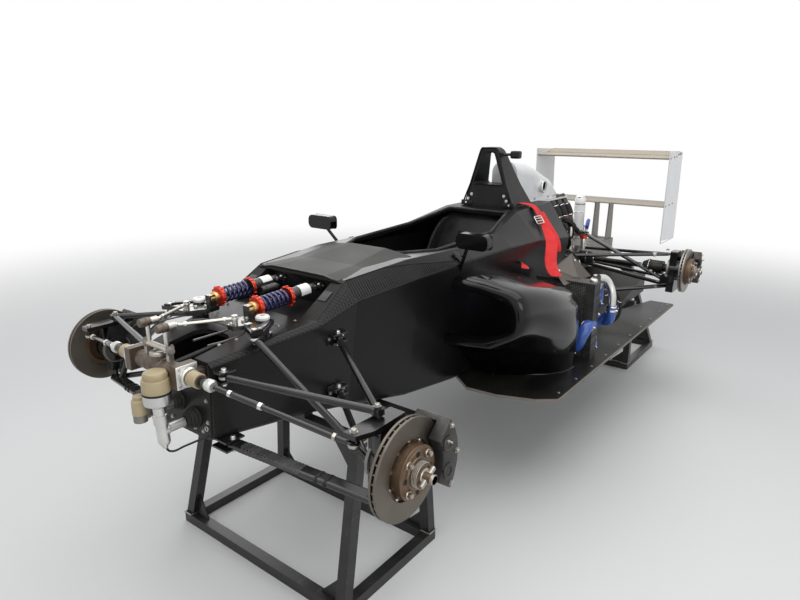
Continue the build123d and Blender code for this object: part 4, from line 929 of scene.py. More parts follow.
def rounded_box(half_a, half_b, radius, steps=5):
    """Rectangle about the origin with four equal rounded corners."""
    corners = [(-half_a, -half_b), (half_a, -half_b), (half_a, half_b), (-half_a, half_b)]
    return rounded(corners, [radius] * 4, steps)


def rim_of(outline, matrix, lift, radius):
    """Thin closed bead along an outline drawn in the matrix's plane, lifted off it."""
    loop = [matrix @ Vector((a * MM, b * MM, lift * MM)) for a, b in outline + outline[:1]]
    return hose(loop, radius, smooth=False)


def coil(start, end, radius, wire, turns, steps=22):
    """Coil spring between two places, the open ends of its wire capped."""
    length = (Vector(end) - Vector(start)).length / MM
    begin()
    bpy.ops.mesh.primitive_circle_add(
        vertices=10, radius=wire * MM, location=(radius * MM, 0, 0), rotation=(math.pi / 2, 0, 0),
        fill_type="NOTHING"
    )
    piece = bpy.context.object
    bpy.ops.object.transform_apply(location=True, rotation=True)
    modify(
        piece,
        "SCREW",
        axis="Z",
        angle=2 * math.pi,
        screw_offset=length / turns * MM,
        iterations=turns,
        steps=steps,
        render_steps=steps,
        use_merge_vertices=False,
    )
    only(piece)
    bpy.ops.object.mode_set(mode="EDIT")
    bpy.ops.mesh.select_all(action="DESELECT")
    bpy.ops.mesh.select_non_manifold()
    bpy.ops.mesh.edge_face_add()
    bpy.ops.object.mode_set(mode="OBJECT")
    outward(piece)
    return place_by(piece, aim(start, Vector(end) - Vector(start)))


def softened(node, width, angle=35):
    """A merged copy of a frame piece with its edges rounded."""
    begin()
    piece = NODES[node].copy()
    piece.data = piece.data.copy()
    bpy.context.scene.collection.objects.link(piece)
    only(piece)
    piece.matrix_world = Matrix.Identity(4)
    bpy.ops.object.mode_set(mode="EDIT")
    bpy.ops.mesh.select_all(action="SELECT")
    bpy.ops.mesh.remove_doubles(threshold=0.00002)
    bpy.ops.mesh.dissolve_limited(angle_limit=math.radians(3))
    bpy.ops.object.mode_set(mode="OBJECT")
    bevelled(piece, width * MM, 2, angle)
    return piece


# Front dampers, rockers and anti-roll bar

DAMPER_FRONT = (-62.0, 96.0, 1012.0)
DAMPER_REAR = (-363.0, 96.0, 1026.0)
SPRING_ENDS = (-88.0, -205.0)
SPRING_RADIUS = 28.0
RACK_X, RACK_Z = 205, 882
STEERING_PIN = (95.0, 656.0, 800.0)
ROCKER_POST = (-50.0, 160.0)
PUSHROD_HEAD = (28.0, 214.0, 962.0)
PUSHROD_FOOT = (-16.0, 620.0, 684.0)


def on_damper(x):
    share = (DAMPER_FRONT[0] - x) / (DAMPER_FRONT[0] - DAMPER_REAR[0])
    return at(*Vector(DAMPER_FRONT).lerp(Vector(DAMPER_REAR), share))


DAMPER_LINE = on_damper(DAMPER_REAR[0]) - on_damper(DAMPER_FRONT[0])


@listed
class CAR_OT_front_springs(bpy.types.Operator):
    """Coil springs of the front dampers, in place of the plain sleeves"""

    bl_idname = "car.front_springs"
    bl_label = "Front springs"

    def execute(self, context):
        wire = sizes().spring_wire
        left = coil(
            on_damper(SPRING_ENDS[0] - wire),
            on_damper(SPRING_ENDS[1] + wire),
            SPRING_RADIUS - wire,
            wire,
            sizes().spring_turns,
        )
        right = mirrored(left)
        both = join([left, right])
        finished(both, "coil_springs", "spring_blue")
        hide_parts("front_springs")
        return {"FINISHED"}


@listed
class CAR_OT_damper_fittings(bpy.types.Operator):
    """Perches, brass ends, bare labels and rear eyes of the front dampers"""

    bl_idname = "car.damper_fittings"
    bl_label = "Damper fittings"

    def execute(self, context):
        for x, name in ((-77, "front"), (-205, "rear")):
            perch = lathe(
                [(23, 0), (30, 0), (31.5, 2), (31.5, 11), (30, 13), (23, 13)],
                aim(on_damper(x), DAMPER_LINE),
                36,
                capped=True,
            )
            notch = block((9, 6, 10), 0.8)
            frame_here = aim(on_damper(x - 6.5), DAMPER_LINE)
            teeth = spread(notch, [frame_here @ polar(turn, 30.2) for turn in range(0, 360, 30)])
            pair(join([perch, teeth]), "perch_" + name, "red_anodised")
        brass = lathe(
            [(11, -18), (14, -16), (14, -2), (19, 0), (19, 12), (16, 14), (16, 17)],
            aim(on_damper(-60), DAMPER_LINE),
            28,
        )
        pair(brass, "damper_end", "brass")
        self.label()
        eye = rod_end(on_damper(-364), on_damper(-300), (0, 1, 0), 8, 32)
        ears = [slab((-378, 96 + y - 2, 1004), (-352, 96 + y + 2, 1040), 1.5) for y in (-12, 12)]
        pin = drum(at(-364, 78, 1026), at(-364, 114, 1026), 5, 16, 0.6)
        pair(join([eye, pin]), "damper_eye", "bright_alloy")
        pair(join(ears), "damper_ears", "satin_black")
        canister = lathe(
            [(13, 0), (15, 2), (15, 66), (13, 68), (8, 69), (8, 78)],
            aim(on_damper(-232) + Vector((0, -0.034, -0.014)), DAMPER_LINE),
            24,
        )
        band = ring(on_damper(-250) + Vector((0, -0.034, -0.014)), DAMPER_LINE, 15.4, 1.4, 24, 8)
        pair(join([canister, band]), "damper_canister", "damper_black")
        return {"FINISHED"}

    def label(self):
        """A bare sleeve over the upper half of each damper body"""
        begin()
        bpy.ops.mesh.primitive_cylinder_add(
            vertices=40, radius=22.7 * MM, depth=44 * MM, end_fill_type="NOTHING"
        )
        sleeve = bpy.context.object
        bpy.ops.object.mode_set(mode="EDIT")
        bpy.ops.mesh.select_all(action="SELECT")
        bpy.ops.mesh.bisect(plane_co=(0, 0, 0), plane_no=(-1, 0.0, 0), clear_outer=True)
        bpy.ops.object.mode_set(mode="OBJECT")
        modify(sleeve, "SOLIDIFY", thickness=0.5 * MM, offset=1)
        turn = aim(on_damper(-276), DAMPER_LINE)
        up = turn.to_3x3().inverted() @ Vector((0, 0.35, 1))
        roll = math.atan2(up.y, up.x)
        place_by(sleeve, turn @ Matrix.Rotation(roll, 4, "Z"))
        pair(outward(sleeve), "damper_sleeve", "label")


@listed
class CAR_OT_rocker_fittings(bpy.types.Operator):
    """Caps, pivots and bolts on the rockers, and the pushrods' upper ends"""

    bl_idname = "car.rocker_fittings"
    bl_label = "Rocker fittings"

    def execute(self, context):
        cap = lathe(
            [(17, 0), (21, 1), (22, 4), (22, 9), (19, 13), (9, 14), (9, 10), (5, 10)],
            moved(*ROCKER_POST, 990),
            36,
        )
        pair(cap, "rocker_cap", "label")
        socket = lathe([(4.8, 0), (4.8, 2.5), (2.4, 2.5)], moved(*ROCKER_POST, 1000), 6)
        pair(socket, "rocker_cap_socket", "hub_steel")
        heads = bolts(
            [
                (at(34, 118, 986), (0, 0, 1)),
                (at(-64, 96, 1024), (0, 0, 1)),
                (at(10, 218, 986), (0, 0, 1)),
                (at(-8, 120, 986), (0, 0, 1)),
                (at(-34, 104, 986), (0, 0, 1)),
            ],
            6,
            5,
        )
        pair(heads, "rocker_bolts", "hub_steel")
        lip = plate(
            [(44, 222), (10, 230), (-60, 186), (-40, 176), (8, 208), (34, 206)],
            5,
            moved(0, 0, 986),
            1.2,
        )
        pair(lip, "rocker_rib", "black_steel")
        tag = slab((-14, 140, 986), (6, 156, 987.2), 0.4)
        pair(tag, "rocker_tag", "label")
        head = rod_end(at(*PUSHROD_HEAD), at(*PUSHROD_FOOT), (0, 0, 1), 10, 46)
        stud = drum(at(28, 214, 944), at(28, 214, 992), 5, 16, 0.6)
        nut = drum(at(28, 214, 986), at(28, 214, 993), 9, 6, 0.6)
        pair(join([head, stud, nut]), "pushrod_top", "bright_alloy")
        foot = rod_end(at(*PUSHROD_FOOT), at(*PUSHROD_HEAD), (1, 0, 0), 9, 42)
        pair(foot, "pushrod_foot", "bright_alloy")
        return {"FINISHED"}


@listed
class CAR_OT_anti_roll_fittings(bpy.types.Operator):
    """Bronze knuckles, clamps and rod ends of the anti-roll bar"""

    bl_idname = "car.anti_roll_fittings"
    bl_label = "Anti-roll bar fittings"

    def execute(self, context):
        knuckle = lathe(
            [(8, 0), (12, 1), (13, 5), (13, 30), (12, 34), (9, 36), (9, 44)],
            aim(at(232, 45, 1006), (-1, 0, 0)), 24
        )
        collar = ring(at(214, 45, 1006), (1, 0, 0), 13.2, 1.6, 24, 8)
        pair(join([knuckle, collar]), "drop_link_knuckle", "rack_bronze")
        link_end = rod_end(at(175, 45, 1006), at(24, 122, 1004), (0, 0, 1), 7, 34)
        foot_end = rod_end(at(24, 122, 1004), at(175, 45, 1006), (0, 0, 1), 7, 34)
        pair(join([link_end, foot_end]), "drop_link_ends", "bright_alloy")
        blade = slab((199, 41, 950), (211, 49, 998), 1.5)
        pin = drum(at(205, 34, 1006), at(205, 56, 1006), 4, 14, 0.4)
        pair(join([blade, pin]), "anti_roll_blade", "bright_alloy")
        cap = slab((193, 54, 928), (217, 66, 952), 3)
        heads = bolts([(at(198, 60, 952), (0, 0, 1)), (at(212, 60, 952), (0, 0, 1))], 3.4, 3)
        pair(join([cap, heads]), "anti_roll_cap", "cast_alloy")
        return {"FINISHED"}


@listed
class CAR_OT_rack_fittings(bpy.types.Operator):
    """Flange bolts, boots, pinion cap and track rod joints of the steering rack"""

    bl_idname = "car.rack_fittings"
    bl_label = "Rack fittings"

    def execute(self, context):
        flange = [(at(RACK_X + dx, 132, RACK_Z + dz), (0, 1, 0)) for dx in (-25, 25) for dz in (-25, 25)]
        heads = bolts(flange, 5, 4)
        face = slab((171, 131, 848), (239, 136, 916), 3)
        clamp = lathe(
            [(19.5, 0), (27, 0), (29, 3), (29, 14), (26, 17), (19.5, 17)],
            aim(at(RACK_X, 136, RACK_Z), (0, 1, 0)), 28,
        )
        pair(join([face, clamp]), "rack_flange", "bright_alloy")
        pair(heads, "rack_flange_bolts", "hub_steel")
        boot = lathe(
            [(20, 0), (22, 2), (22, 26), (20, 29), (22, 32), (20, 35), (22, 38), (17, 42), (14, 43)],
            aim(at(RACK_X, 154, RACK_Z), (0, 1, 0)),
            30,
        )
        pair(boot, "rack_boot", "cream")
        waist = [
            lathe([(25, -8), (27, -6), (27, 6), (25, 8)], aim(at(RACK_X, y, RACK_Z), (0, 1, 0)), 28)
            for y in (20, 52, 84)
        ]
        pair(join(waist), "rack_bands", "rack_bronze")
        cap = lathe(
            [(24, -6), (27, -5), (27, 3), (24, 5), (15, 5), (15, 1), (8, 1)], moved(RACK_X, 0, RACK_Z + 40),
            30
        )
        finished(cap, "pinion_cap", "hub_steel")
        screws = bolts(
            [
                (at(RACK_X + 20.5 * math.cos(a), 20.5 * math.sin(a), RACK_Z + 44), (0, 0, 1))
                for a in (0.6, 2.7, 4.8)
            ],
            2.6, 2,
        )
        finished(screws, "pinion_cap_screws", "bright_alloy")
        self.track_rods()
        return {"FINISHED"}

    def track_rods(self):
        inner = at(RACK_X, 236, RACK_Z)
        outer = at(*STEERING_PIN)
        joint = lathe(
            [(10, 0), (17, 2), (18, 8), (18, 20), (13, 26)], aim(at(RACK_X, 227, RACK_Z), (0, 1, 0)), 24
        )
        stud = drum(along(inner, outer, 0.03), along(inner, outer, 0.15), 5.2, 14)
        threads = [
            ring(along(inner, outer, 0.055 + 0.012 * k), outer - inner, 5.6, 0.9, 14, 6) for k in range(7)
        ]
        nut = drum(along(inner, outer, 0.14), along(inner, outer, 0.165), 10, 6, 0.5)
        sleeve = drum(along(inner, outer, 0.16), along(inner, outer, 0.36), 9, 20, 1)
        middle = drum(along(inner, outer, 0.36), along(inner, outer, 0.385), 11, 6, 0.5)
        end = rod_end(outer, inner, (0, 0, 1), 10.5, 60)
        pair(join([joint, stud, nut, middle] + threads), "track_rod_joint", "bright_alloy", "steering_rack")
        pair(sleeve, "track_rod_sleeve", "black_steel", "steering_rack")
        pair(end, "track_rod_end", "hub_steel", "steering_rack")


@listed
class CAR_OT_brake_cylinders(bpy.types.Operator):
    """Brake cylinders and reservoirs on the bulkhead, in place of the plain ones"""

    bl_idname = "car.brake_cylinders"
    bl_label = "Brake cylinders"

    def execute(self, context):
        x, y = 260, 62
        upper = lathe(
            [(36, 0), (39, 2), (39.4, 5), (39.4, 40), (37, 45), (30, 47), (30, 44)], moved(x, y, 830), 40
        )
        lid = lathe([(27, 0), (33, 1), (33, 15), (31, 19), (24, 22), (10, 22.5)], moved(x, y, 875), 40)
        ridge = block((4.4, 2, 14), 0.5)
        grips = spread(
            ridge,
            [
                moved(
                    x + 32.8 * math.cos(a), y + 32.8 * math.sin(a), 883
                ) @ Matrix.Rotation(a + math.pi / 2, 4, "Z")
                for a in [k * math.pi / 14 for k in range(28)]
            ],
        )
        finished(join([upper, lid, grips]), "reservoir_top", "cream")
        band = lathe([(38, 0), (39.9, 1), (39.9, 7), (38, 8)], moved(x, y, 829), 40)
        finished(band, "reservoir_band", "rubber")
        lower = lathe(
            [(20, -8), (22, -6), (30, 0), (38, 4), (39.2, 10), (39.2, 34), (37, 36)], moved(x, y, 796), 40
        )
        neck = lathe(
            [(12, -4), (15, -2), (18, 2), (18, 60), (21, 62), (21, 92), (18, 94), (18, 126)],
            aim(at(x - 8, y, 672), (8, 0, 130)),
            28,
        )
        elbow = lathe(
            [(16, 0), (19, 2), (19, 16), (15, 20), (15, 70)], aim(at(x - 4, y, 712), (-1, 0, 0)), 24
        )
        banjo = join(
            [
                drum(at(x - 8, y, 655), at(x - 8, y, 675), 9, 6, 0.8),
                ring(at(x - 8, y, 668), (0, 0, 1), 11, 3.4, 24, 10),
            ]
        )
        cylinders = join([lower, neck, elbow, banjo])
        finished(cylinders, "brake_cylinders", "bright_alloy")
        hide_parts("master_cylinders")
        self.second_cylinder()
        gaiter = lathe(
            [(34, 0), (34, 4), (27, 8), (31, 12), (25, 17), (28, 21), (22, 26), (24, 30), (16, 36)],
            aim(at(146, y, 712), (1, 0, 0)),
            32,
        )
        finished(gaiter, "cylinder_gaiter", "rubber")
        pipe = tubing(
            [(x - 8, y, 658), (x - 20, y + 6, 640), (200, y + 22, 646), (160, 110, 660), (140, 130, 668)],
            3.2,
        )
        finished(pipe, "brake_pipe", "rubber")
        return {"FINISHED"}

    def second_cylinder(self):
        x, y = 276, -12
        top = lathe(
            [(18, 0), (21.5, 2), (21.5, 44), (18, 48), (16, 48), (16, 58), (12, 60)], moved(x, y, 748), 32
        )
        finished(top, "small_reservoir", "cream")
        body = lathe(
            [(14, 0), (17, 2), (17, 30), (14, 34), (14, 134)], aim(at(x + 4, y, 745), (-1, 0, 0)), 24
        )
        foot = lathe([(15, 0), (20, 2), (20, 26)], moved(x, y, 724), 24)
        finished(join([body, foot]), "second_cylinder", "cast_alloy")
        boot = lathe(
            [(30, 0), (30, 4), (22, 9), (26, 13), (20, 18), (23, 22), (17, 28)],
            aim(at(146, y, 745), (1, 0, 0)), 28,
        )
        finished(boot, "second_gaiter", "rubber")


# Front arms

UPPER_JOINT = (-5.0, 650.0, 851.0)
LOWER_JOINT = (5.0, 680.0, 598.0)
UPPER_PICKUPS = ((126.0, 192.0, 868.0), (-279.0, 255.0, 890.0))
LOWER_REAR_PICKUP = (-294.0, 240.0, 690.0)
LOWER_FRONT_PICKUP = (100.0, 176.0, 642.0)


@listed
class CAR_OT_front_arm_fittings(bpy.types.Operator):
    """Rod ends, bolts and tape on the front arms"""

    bl_idname = "car.front_arm_fittings"
    bl_label = "Front arm fittings"

    def execute(self, context):
        ends = [rod_end(at(*pickup), at(*UPPER_JOINT), (0, 0, 1), 10, 52) for pickup in UPPER_PICKUPS]
        ends.append(rod_end(at(*LOWER_REAR_PICKUP), at(*LOWER_JOINT), (0, 0, 1), 10, 52))
        pair(join(ends), "arm_rod_ends", "hub_steel")
        heads = []
        for x, y, z in UPPER_PICKUPS + (LOWER_REAR_PICKUP, LOWER_FRONT_PICKUP):
            heads.append((at(x, y, z + 16), (0, 0, 1)))
            heads.append((at(x, y, z - 16), (0, 0, -1)))
        pair(bolts(heads, 8.5, 9), "arm_bolts", "bright_alloy")
        plates = []
        for x, y, z in UPPER_PICKUPS[1:] + (LOWER_REAR_PICKUP,):
            foot = plate(
                rounded_box(40, 24, 8),
                4,
                aim(at(x, y - 13, z), (0, 1, 0.12)),
                1,
            )
            plates.append(foot)
        pair(join(plates), "bracket_feet", "satin_black")
        foot_bolts = [
            (at(x + dx, y - 9, z), (0, 1, 0.12)) for x, y, z in UPPER_PICKUPS[1:] + (LOWER_REAR_PICKUP,)
            for dx in (-31, 31)
        ]
        pair(bolts(foot_bolts, 5, 4), "bracket_bolts", "hub_steel")
        self.tape()
        return {"FINISHED"}

    def tape(self):
        """Tape wound round the inner half of the lower front blades"""
        inner, outer = at(*LOWER_FRONT_PICKUP), at(*LOWER_JOINT)
        line = (outer - inner).normalized()
        chord = (Vector((1, 0, 0)) - line * line.x).normalized()
        turn = Matrix((chord, line.cross(chord), line)).transposed().to_4x4()
        begin()
        bpy.ops.mesh.primitive_cylinder_add(vertices=28, radius=1, depth=1)
        wrap = bpy.context.object
        place_by(wrap, Matrix.Diagonal((25.4 * MM, 11.6 * MM, 15 * MM, 1)))
        bevelled(wrap, 1.0 * MM, 1, 50)
        places = []
        for index in range(17):
            place = inner + line * (46 + index * 12.6) * MM
            tilt = Matrix.Rotation(math.radians(7), 4, "X")
            places.append(Matrix.Translation(place) @ turn @ tilt)
        wound = spread(wrap, places)
        pair(wound, "arm_tape", "tape")
        collars = []
        for share in (0.60, 0.66):
            begin()
            bpy.ops.mesh.primitive_cylinder_add(vertices=28, radius=1, depth=1)
            collar = place_by(bpy.context.object, Matrix.Diagonal((26.5 * MM, 12.6 * MM, 9 * MM, 1)))
            bevelled(collar, 1.5 * MM, 2, 50)
            collars.append(place_by(collar, Matrix.Translation(along(inner, outer, share)) @ turn))
        pair(join(collars), "arm_collars", "satin_black")


# Monocoque

# x, half width and height of the chine, half width and height of the top edge
SHOULDER = (
    (146, 160, 894, 146, 906),
    (-205, 248, 944, 232, 960),
    (-363, 268, 996, 212, 1060),
    (-680, 298, 1022, 235, 1084),
    (-1020, 326, 1042, 258, 1082),
    (-1340, 330, 1046, 252, 1104),
    (-1620, 326, 1036, 208, 1166),
    (-2050, 312, 1000, 192, 1180),
)


def shoulder(x):
    """The chine's and the top edge's places on the left side at station x, in millimetres."""
    for first, second in zip(SHOULDER[:-1], SHOULDER[1:]):
        if first[0] >= x >= second[0]:
            share = (first[0] - x) / (first[0] - second[0])
            row = [a + (b - a) * share for a, b in zip(first, second)]
            return Vector((x, row[1], row[2])), Vector((x, row[3], row[4]))
    raise ValueError("station outside the monocoque")


@listed
class CAR_OT_shoulder_ribs(bpy.types.Operator):
    """Ribbed band along each shoulder, with a bead along both of its edges"""

    bl_idname = "car.shoulder_ribs"
    bl_label = "Shoulder ribs"

    FIRST, WIDEST, TAPER, LAST = -210, -363, -560, -960

    def execute(self, context):
        ribs = []
        x = self.FIRST
        while x > self.LAST:
            ribs.append(self.rib(x))
            x -= sizes().rib_pitch
        pair(join(ribs), "shoulder_ribs", "satin_black", smooth=50)
        for name, pick, inset in (("low", 0, 5), ("high", 1, 4)):
            points = []
            for station in (-212, -280, -345, -363, -380, -450, -560, -680, -800, -900, -960):
                low, high = self.ends(station)
                edge = (low, high)[pick]
                points.append(
                    at(*edge) + (at(*(low + high) / 2) - at(*edge)).normalized() * inset * MM * 0.2
                )
            bead = hose(points, 2.4, smooth=False, sides=2)
            pair(bead, "shoulder_bead_" + name, "carbon")
        return {"FINISHED"}

    def ends(self, x):
        """Lower and upper end of the rib at station x."""
        low, high = shoulder(x)
        if x < self.TAPER:
            share = 1 - 0.78 * (self.TAPER - x) / (self.TAPER - self.LAST)
            high = low.lerp(high, share)
        return low, high

    def rib(self, x):
        low, high = self.ends(x)
        slant = Vector((-7, 0, 0))
        across = (high + slant) - low
        ahead_low = self.ends(max(x - 6, self.LAST))[0]
        lengthways = ahead_low - low
        normal = across.cross(lengthways).normalized()
        if normal.z < 0:
            normal = -normal
        begin()
        bpy.ops.mesh.primitive_cube_add(size=1)
        piece = bpy.context.object
        bpy.ops.object.mode_set(mode="EDIT")
        bpy.ops.mesh.select_all(action="DESELECT")
        bpy.ops.object.mode_set(mode="OBJECT")
        for face in piece.data.polygons:
            face.select = face.normal.z > 0.9
        bpy.ops.object.mode_set(mode="EDIT")
        bpy.ops.transform.resize(value=(0.45, 0.97, 1), center_override=(0, 0, 0.5))
        bpy.ops.object.mode_set(mode="OBJECT")
        place_by(piece, Matrix.Diagonal((5.2 * MM, across.length * 0.9 * MM, 4.4 * MM, 1)))
        side = across.normalized()
        turn = Matrix((side.cross(normal), side, normal)).transposed().to_4x4()
        middle = (low + high + slant) / 2
        return place_by(piece, moved(*middle) @ turn)


@listed
class CAR_OT_front_deck(bpy.types.Operator):
    """Rims, patches, lips, rivets and bolts round the front shelf"""

    bl_idname = "car.front_deck"
    bl_label = "Front deck"

    def execute(self, context):
        outline = rounded([(144, -84), (-4, -84), (-4, 84), (144, 84)], [0, 50, 50, 0], 8)
        rim = tubing([(x, y, 959) for x, y in outline], 3.4, smooth=False)
        finished(rim, "hatch_rim", "twill")
        flange = rounded(
            [(143, 150), (96, 158), (20, 150), (-20, 118), (-60, 118), (-120, 164)], [0, 40, 30, 30, 30, 0],
            6,
        )
        strip = tubing([(x, y, 958.5) for x, y in flange], 2.6, smooth=False)
        pair(strip, "shelf_crease", "twill")
        slope = Matrix.Rotation(math.atan2(100, 158), 4, "Y")
        patch = slab((-314, 170, 1017), (-270, 206, 1018.6), 0.5, slope)
        pair(patch, "taped_patch", "tape")
        edge = [
            at(-363, -206, 1055), at(-349, -203, 1052), at(-346, -130, 1067), at(-346, 0, 1068),
            at(-346, 130, 1067), at(-349, 203, 1052), at(-363, 206, 1055),
        ]
        lip = hose(edge, 3.2, smooth=False)
        finished(lip, "deck_lip", "carbon")
        rivets = [
            (at(-372, y, 1062 + (130 - abs(y)) * 0.03), (0, 0, 1)) for y in (-190, -120, -50, 50, 120, 190)
        ]
        heads = [(at(x, y, 958), (0, 0, 1)) for x in (120, 60, -100, -170) for y in (-172, 172)]
        finished(bolts(heads, 4, 3), "shelf_bolts", "hub_steel")
        finished(bolts(rivets, 3, 2), "deck_rivets", "satin_black")
        self.bulkhead()
        return {"FINISHED"}

    def bulkhead(self):
        """Corner bolts and a folded edge on the front bulkhead"""
        edge = tubing([(147, 137, 668), (147, 150, 880), (147, 146, 898)], 4, smooth=False)
        pair(edge, "bulkhead_edge", "satin_black")
        heads = [
            (at(146, y, z), (1, 0, 0))
            for y, z in ((126, 712), (126, 782), (132, 838), (60, 676), (-60, 676), (100, 676))
        ]
        finished(bolts(heads, 5, 4), "bulkhead_bolts", "hub_steel")
        studs = [ring(at(148, y, z), (1, 0, 0), 7, 2, 18, 8) for y in (-118, 118) for z in (690, 850)]
        finished(join(studs), "nose_sockets", "hub_steel")


@listed
class CAR_OT_cockpit_rim(bpy.types.Operator):
    """Rolled rim of the cockpit mouth and the edges of its shell"""

    bl_idname = "car.cockpit_rim"
    bl_label = "Cockpit rim"

    def execute(self, context):
        half = [(-735, 110), (-775, 150), (-905, 216), (-1330, 226), (-1590, 165)]
        outline = rounded(half + [(x, -y) for x, y in reversed(half)], [18] * 10, 5)
        points = [at(corner.x, corner.y, shoulder(corner.x)[1].z + 1) for corner in outline]
        rim = hose(points + points[:1], 7, smooth=False)
        finished(rim, "cockpit_rim", "rubber")
        return {"FINISHED"}


@listed
class CAR_OT_steering_wheel(bpy.types.Operator):
    """Wrapped grips, hub boss, dials and bare keys of the steering wheel"""

    bl_idname = "car.wheel_fittings"
    bl_label = "Steering wheel"

    CENTRE = (-775.0, 0.0, 962.0)
    COLUMN_FRONT = (186.0, 0.0, 869.0)

    def execute(self, context):
        toward_driver = (at(*self.CENTRE) - at(*self.COLUMN_FRONT)).normalized()
        left = Vector((0, 1, 0))
        up = toward_driver.cross(left)
        if up.z < 0:
            up = -up
        turn = Matrix((left, up, left.cross(up))).transposed().to_4x4()
        face = 1 if left.cross(up).dot(toward_driver) > 0 else -1
        here = moved(*self.CENTRE) @ turn

        def spot(a, b, c):
            return here @ Vector((a * MM, b * MM, c * face * MM))

        grips = []
        for side in (-1, 1):
            path = [
                spot(side * a, b, 14)
                for a, b in ((96, 58), (112, 40), (114, 10), (114, -20), (108, -46), (90, -66))
            ]
            grips.append(hose(path, 17))
        finished(join(grips), "wheel_grips", "grip", "steering_wheel")
        boss = lathe(
            [(30, 0), (34, 2), (34, 12), (26, 20), (18, 22), (18, 26)],
            here @ Matrix.Scale(face, 4, (0, 0, 1)), 32,
        )
        outward(boss)
        finished(boss, "wheel_boss", "bright_alloy", "steering_wheel")
        screen = block((92, 34, 8), 2)
        place_by(screen, here @ Matrix.Translation((0, 62 * MM, 27 * face * MM)))
        finished(screen, "wheel_screen", "gloss_black", "steering_wheel")
        keys = []
        for a, b in ((-78, 26), (78, 26), (-84, 2), (84, 2), (-70, -24), (70, -24)):
            key = lathe([(7, 0), (8, 1), (8, 5), (6, 7)], Matrix.Identity(4), 18)
            keys.append(
                outward(
                    place_by(
                        key, Matrix.Translation(spot(a, b, 15)) @ turn @ Matrix.Scale(face, 4, (0, 0, 1))
                    )
                )
            )
        finished(join(keys), "wheel_keys", "red_anodised", "steering_wheel")
        dials = []
        for a, b in ((-40, -24), (0, -28), (40, -24)):
            dial = lathe([(11, 0), (11, 6), (9, 9), (3, 9)], Matrix.Identity(4), 14)
            dials.append(
                outward(
                    place_by(
                        dial, Matrix.Translation(spot(a, b, 15)) @ turn @ Matrix.Scale(face, 4, (0, 0, 1))
                    )
                )
            )
        finished(join(dials), "wheel_dials", "satin_black", "steering_wheel")
        return {"FINISHED"}


@listed
class CAR_OT_seat_fittings(bpy.types.Operator):
    """Edge roll and belt slot rims of the seat shell"""

    bl_idname = "car.seat_fittings"
    bl_label = "Seat fittings"

    def execute(self, context):
        rim = tubing(
            [
                (-1628, 190, 1108), (-1560, 197, 1088), (-1400, 198, 894), (-1240, 198, 704),
                (-1120, 198, 664), (-1012, 196, 640), (-1004, 196, 560), (-905, 170, 604),
            ],
            8,
        )
        pair(rim, "seat_edge", "rubber")
        front = tubing([(-902, y, 607) for y in (-168, -60, 60, 168)], 8)
        finished(front, "seat_front_edge", "rubber")
        slots = []
        for y in (-84, 84):
            slots.append(self.belt_slot(-1560, y, 1016))
            slots.append(self.belt_slot(-1180, y * 1.7, 540))
        finished(join(slots), "seat_slots", "satin_black")
        return {"FINISHED"}

    def belt_slot(self, x, y, z):
        outline = rounded_box(34, 10, 9)
        place = aim(at(x, y, z), (0.84, 0, 0.54) if z > 700 else (0, 0, 1), math.pi / 2 if z > 700 else 0)
        return rim_of(outline, place, 12, 3)


@listed
class CAR_OT_belts(bpy.types.Operator):
    """Red webbing over the shoulder, its buckle and its ends"""

    bl_idname = "car.belts"
    bl_label = "Belts"

    def execute(self, context):
        width, thickness = sizes().strap_width, sizes().strap_thickness
        path = [
            (-1800, 60, 1190), (-1802, 120, 1189), (-1804, 176, 1188), (-1804, 214, 1178),
            (-1796, 246, 1143), (-1776, 284, 1098), (-1748, 322, 1060), (-1716, 358, 1030),
            (-1684, 374, 992), (-1654, 384, 954), (-1628, 400, 924), (-1608, 422, 900), (-1596, 448, 880),
        ]
        lean = [(1, 0, 0)] * 3 + [
            (1, -0.02, 0.02), (1, -0.08, 0.14), (1, -0.3, 0.3), (0.85, -0.55, 0.12), (0.62, -0.8, 0),
            (0.45, -0.9, 0), (0.38, -0.93, 0), (0.38, -0.93, 0), (0.4, -0.92, 0), (0.45, -0.9, 0),
        ]
        strap = ribbon(path, lean, width, thickness)
        fold = ribbon(
            [
                (-1850, 236, 1150), (-1836, 276, 1102), (-1818, 316, 1060), (-1798, 350, 1024),
                (-1786, 362, 986), (-1780, 366, 962),
            ],
            [
                (1, 0, 0.1), (1, -0.2, 0.2), (0.9, -0.4, 0.1), (0.7, -0.7, 0), (0.5, -0.86, 0),
                (0.5, -0.86, 0),
            ],
            width * 0.6,
            thickness,
        )
        second = ribbon(
            [(-1470, 318, 950), (-1462, 334, 952), (-1444, 350, 950), (-1414, 368, 946), (-1376, 386, 950)],
            [(0.75, 0.1, 0.6), (0.8, -0.1, 0.5), (0.7, -0.5, 0.3), (0.5, -0.8, 0.1), (0.4, -0.9, 0.05)],
            width * 0.62,
            thickness,
        )
        belts = join([strap, fold, second])
        modify(belts, "SUBSURF", levels=1, render_levels=1)
        finished(belts, "shoulder_belts", "webbing", smooth=60)
        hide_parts("harness")
        self.buckle((-1742, 268, 1118), (0.1, 0.82, 0.57))
        return {"FINISHED"}

    def buckle(self, place, facing):
        """Three-bar adjuster round the webbing"""
        outline = rounded_box(31, 20, 6, 3)
        here = aim(at(*place), facing, 0)
        parts = [rim_of(outline, here, 4, 3)]
        for b in (-6, 8):
            parts.append(
                drum(
                    here @ Vector((-30 * MM, b * MM, 0.005)), here @ Vector((30 * MM, b * MM, 0.005)), 3,
                    12,
                )
            )
        finished(join(parts), "belt_adjuster", "bright_alloy")


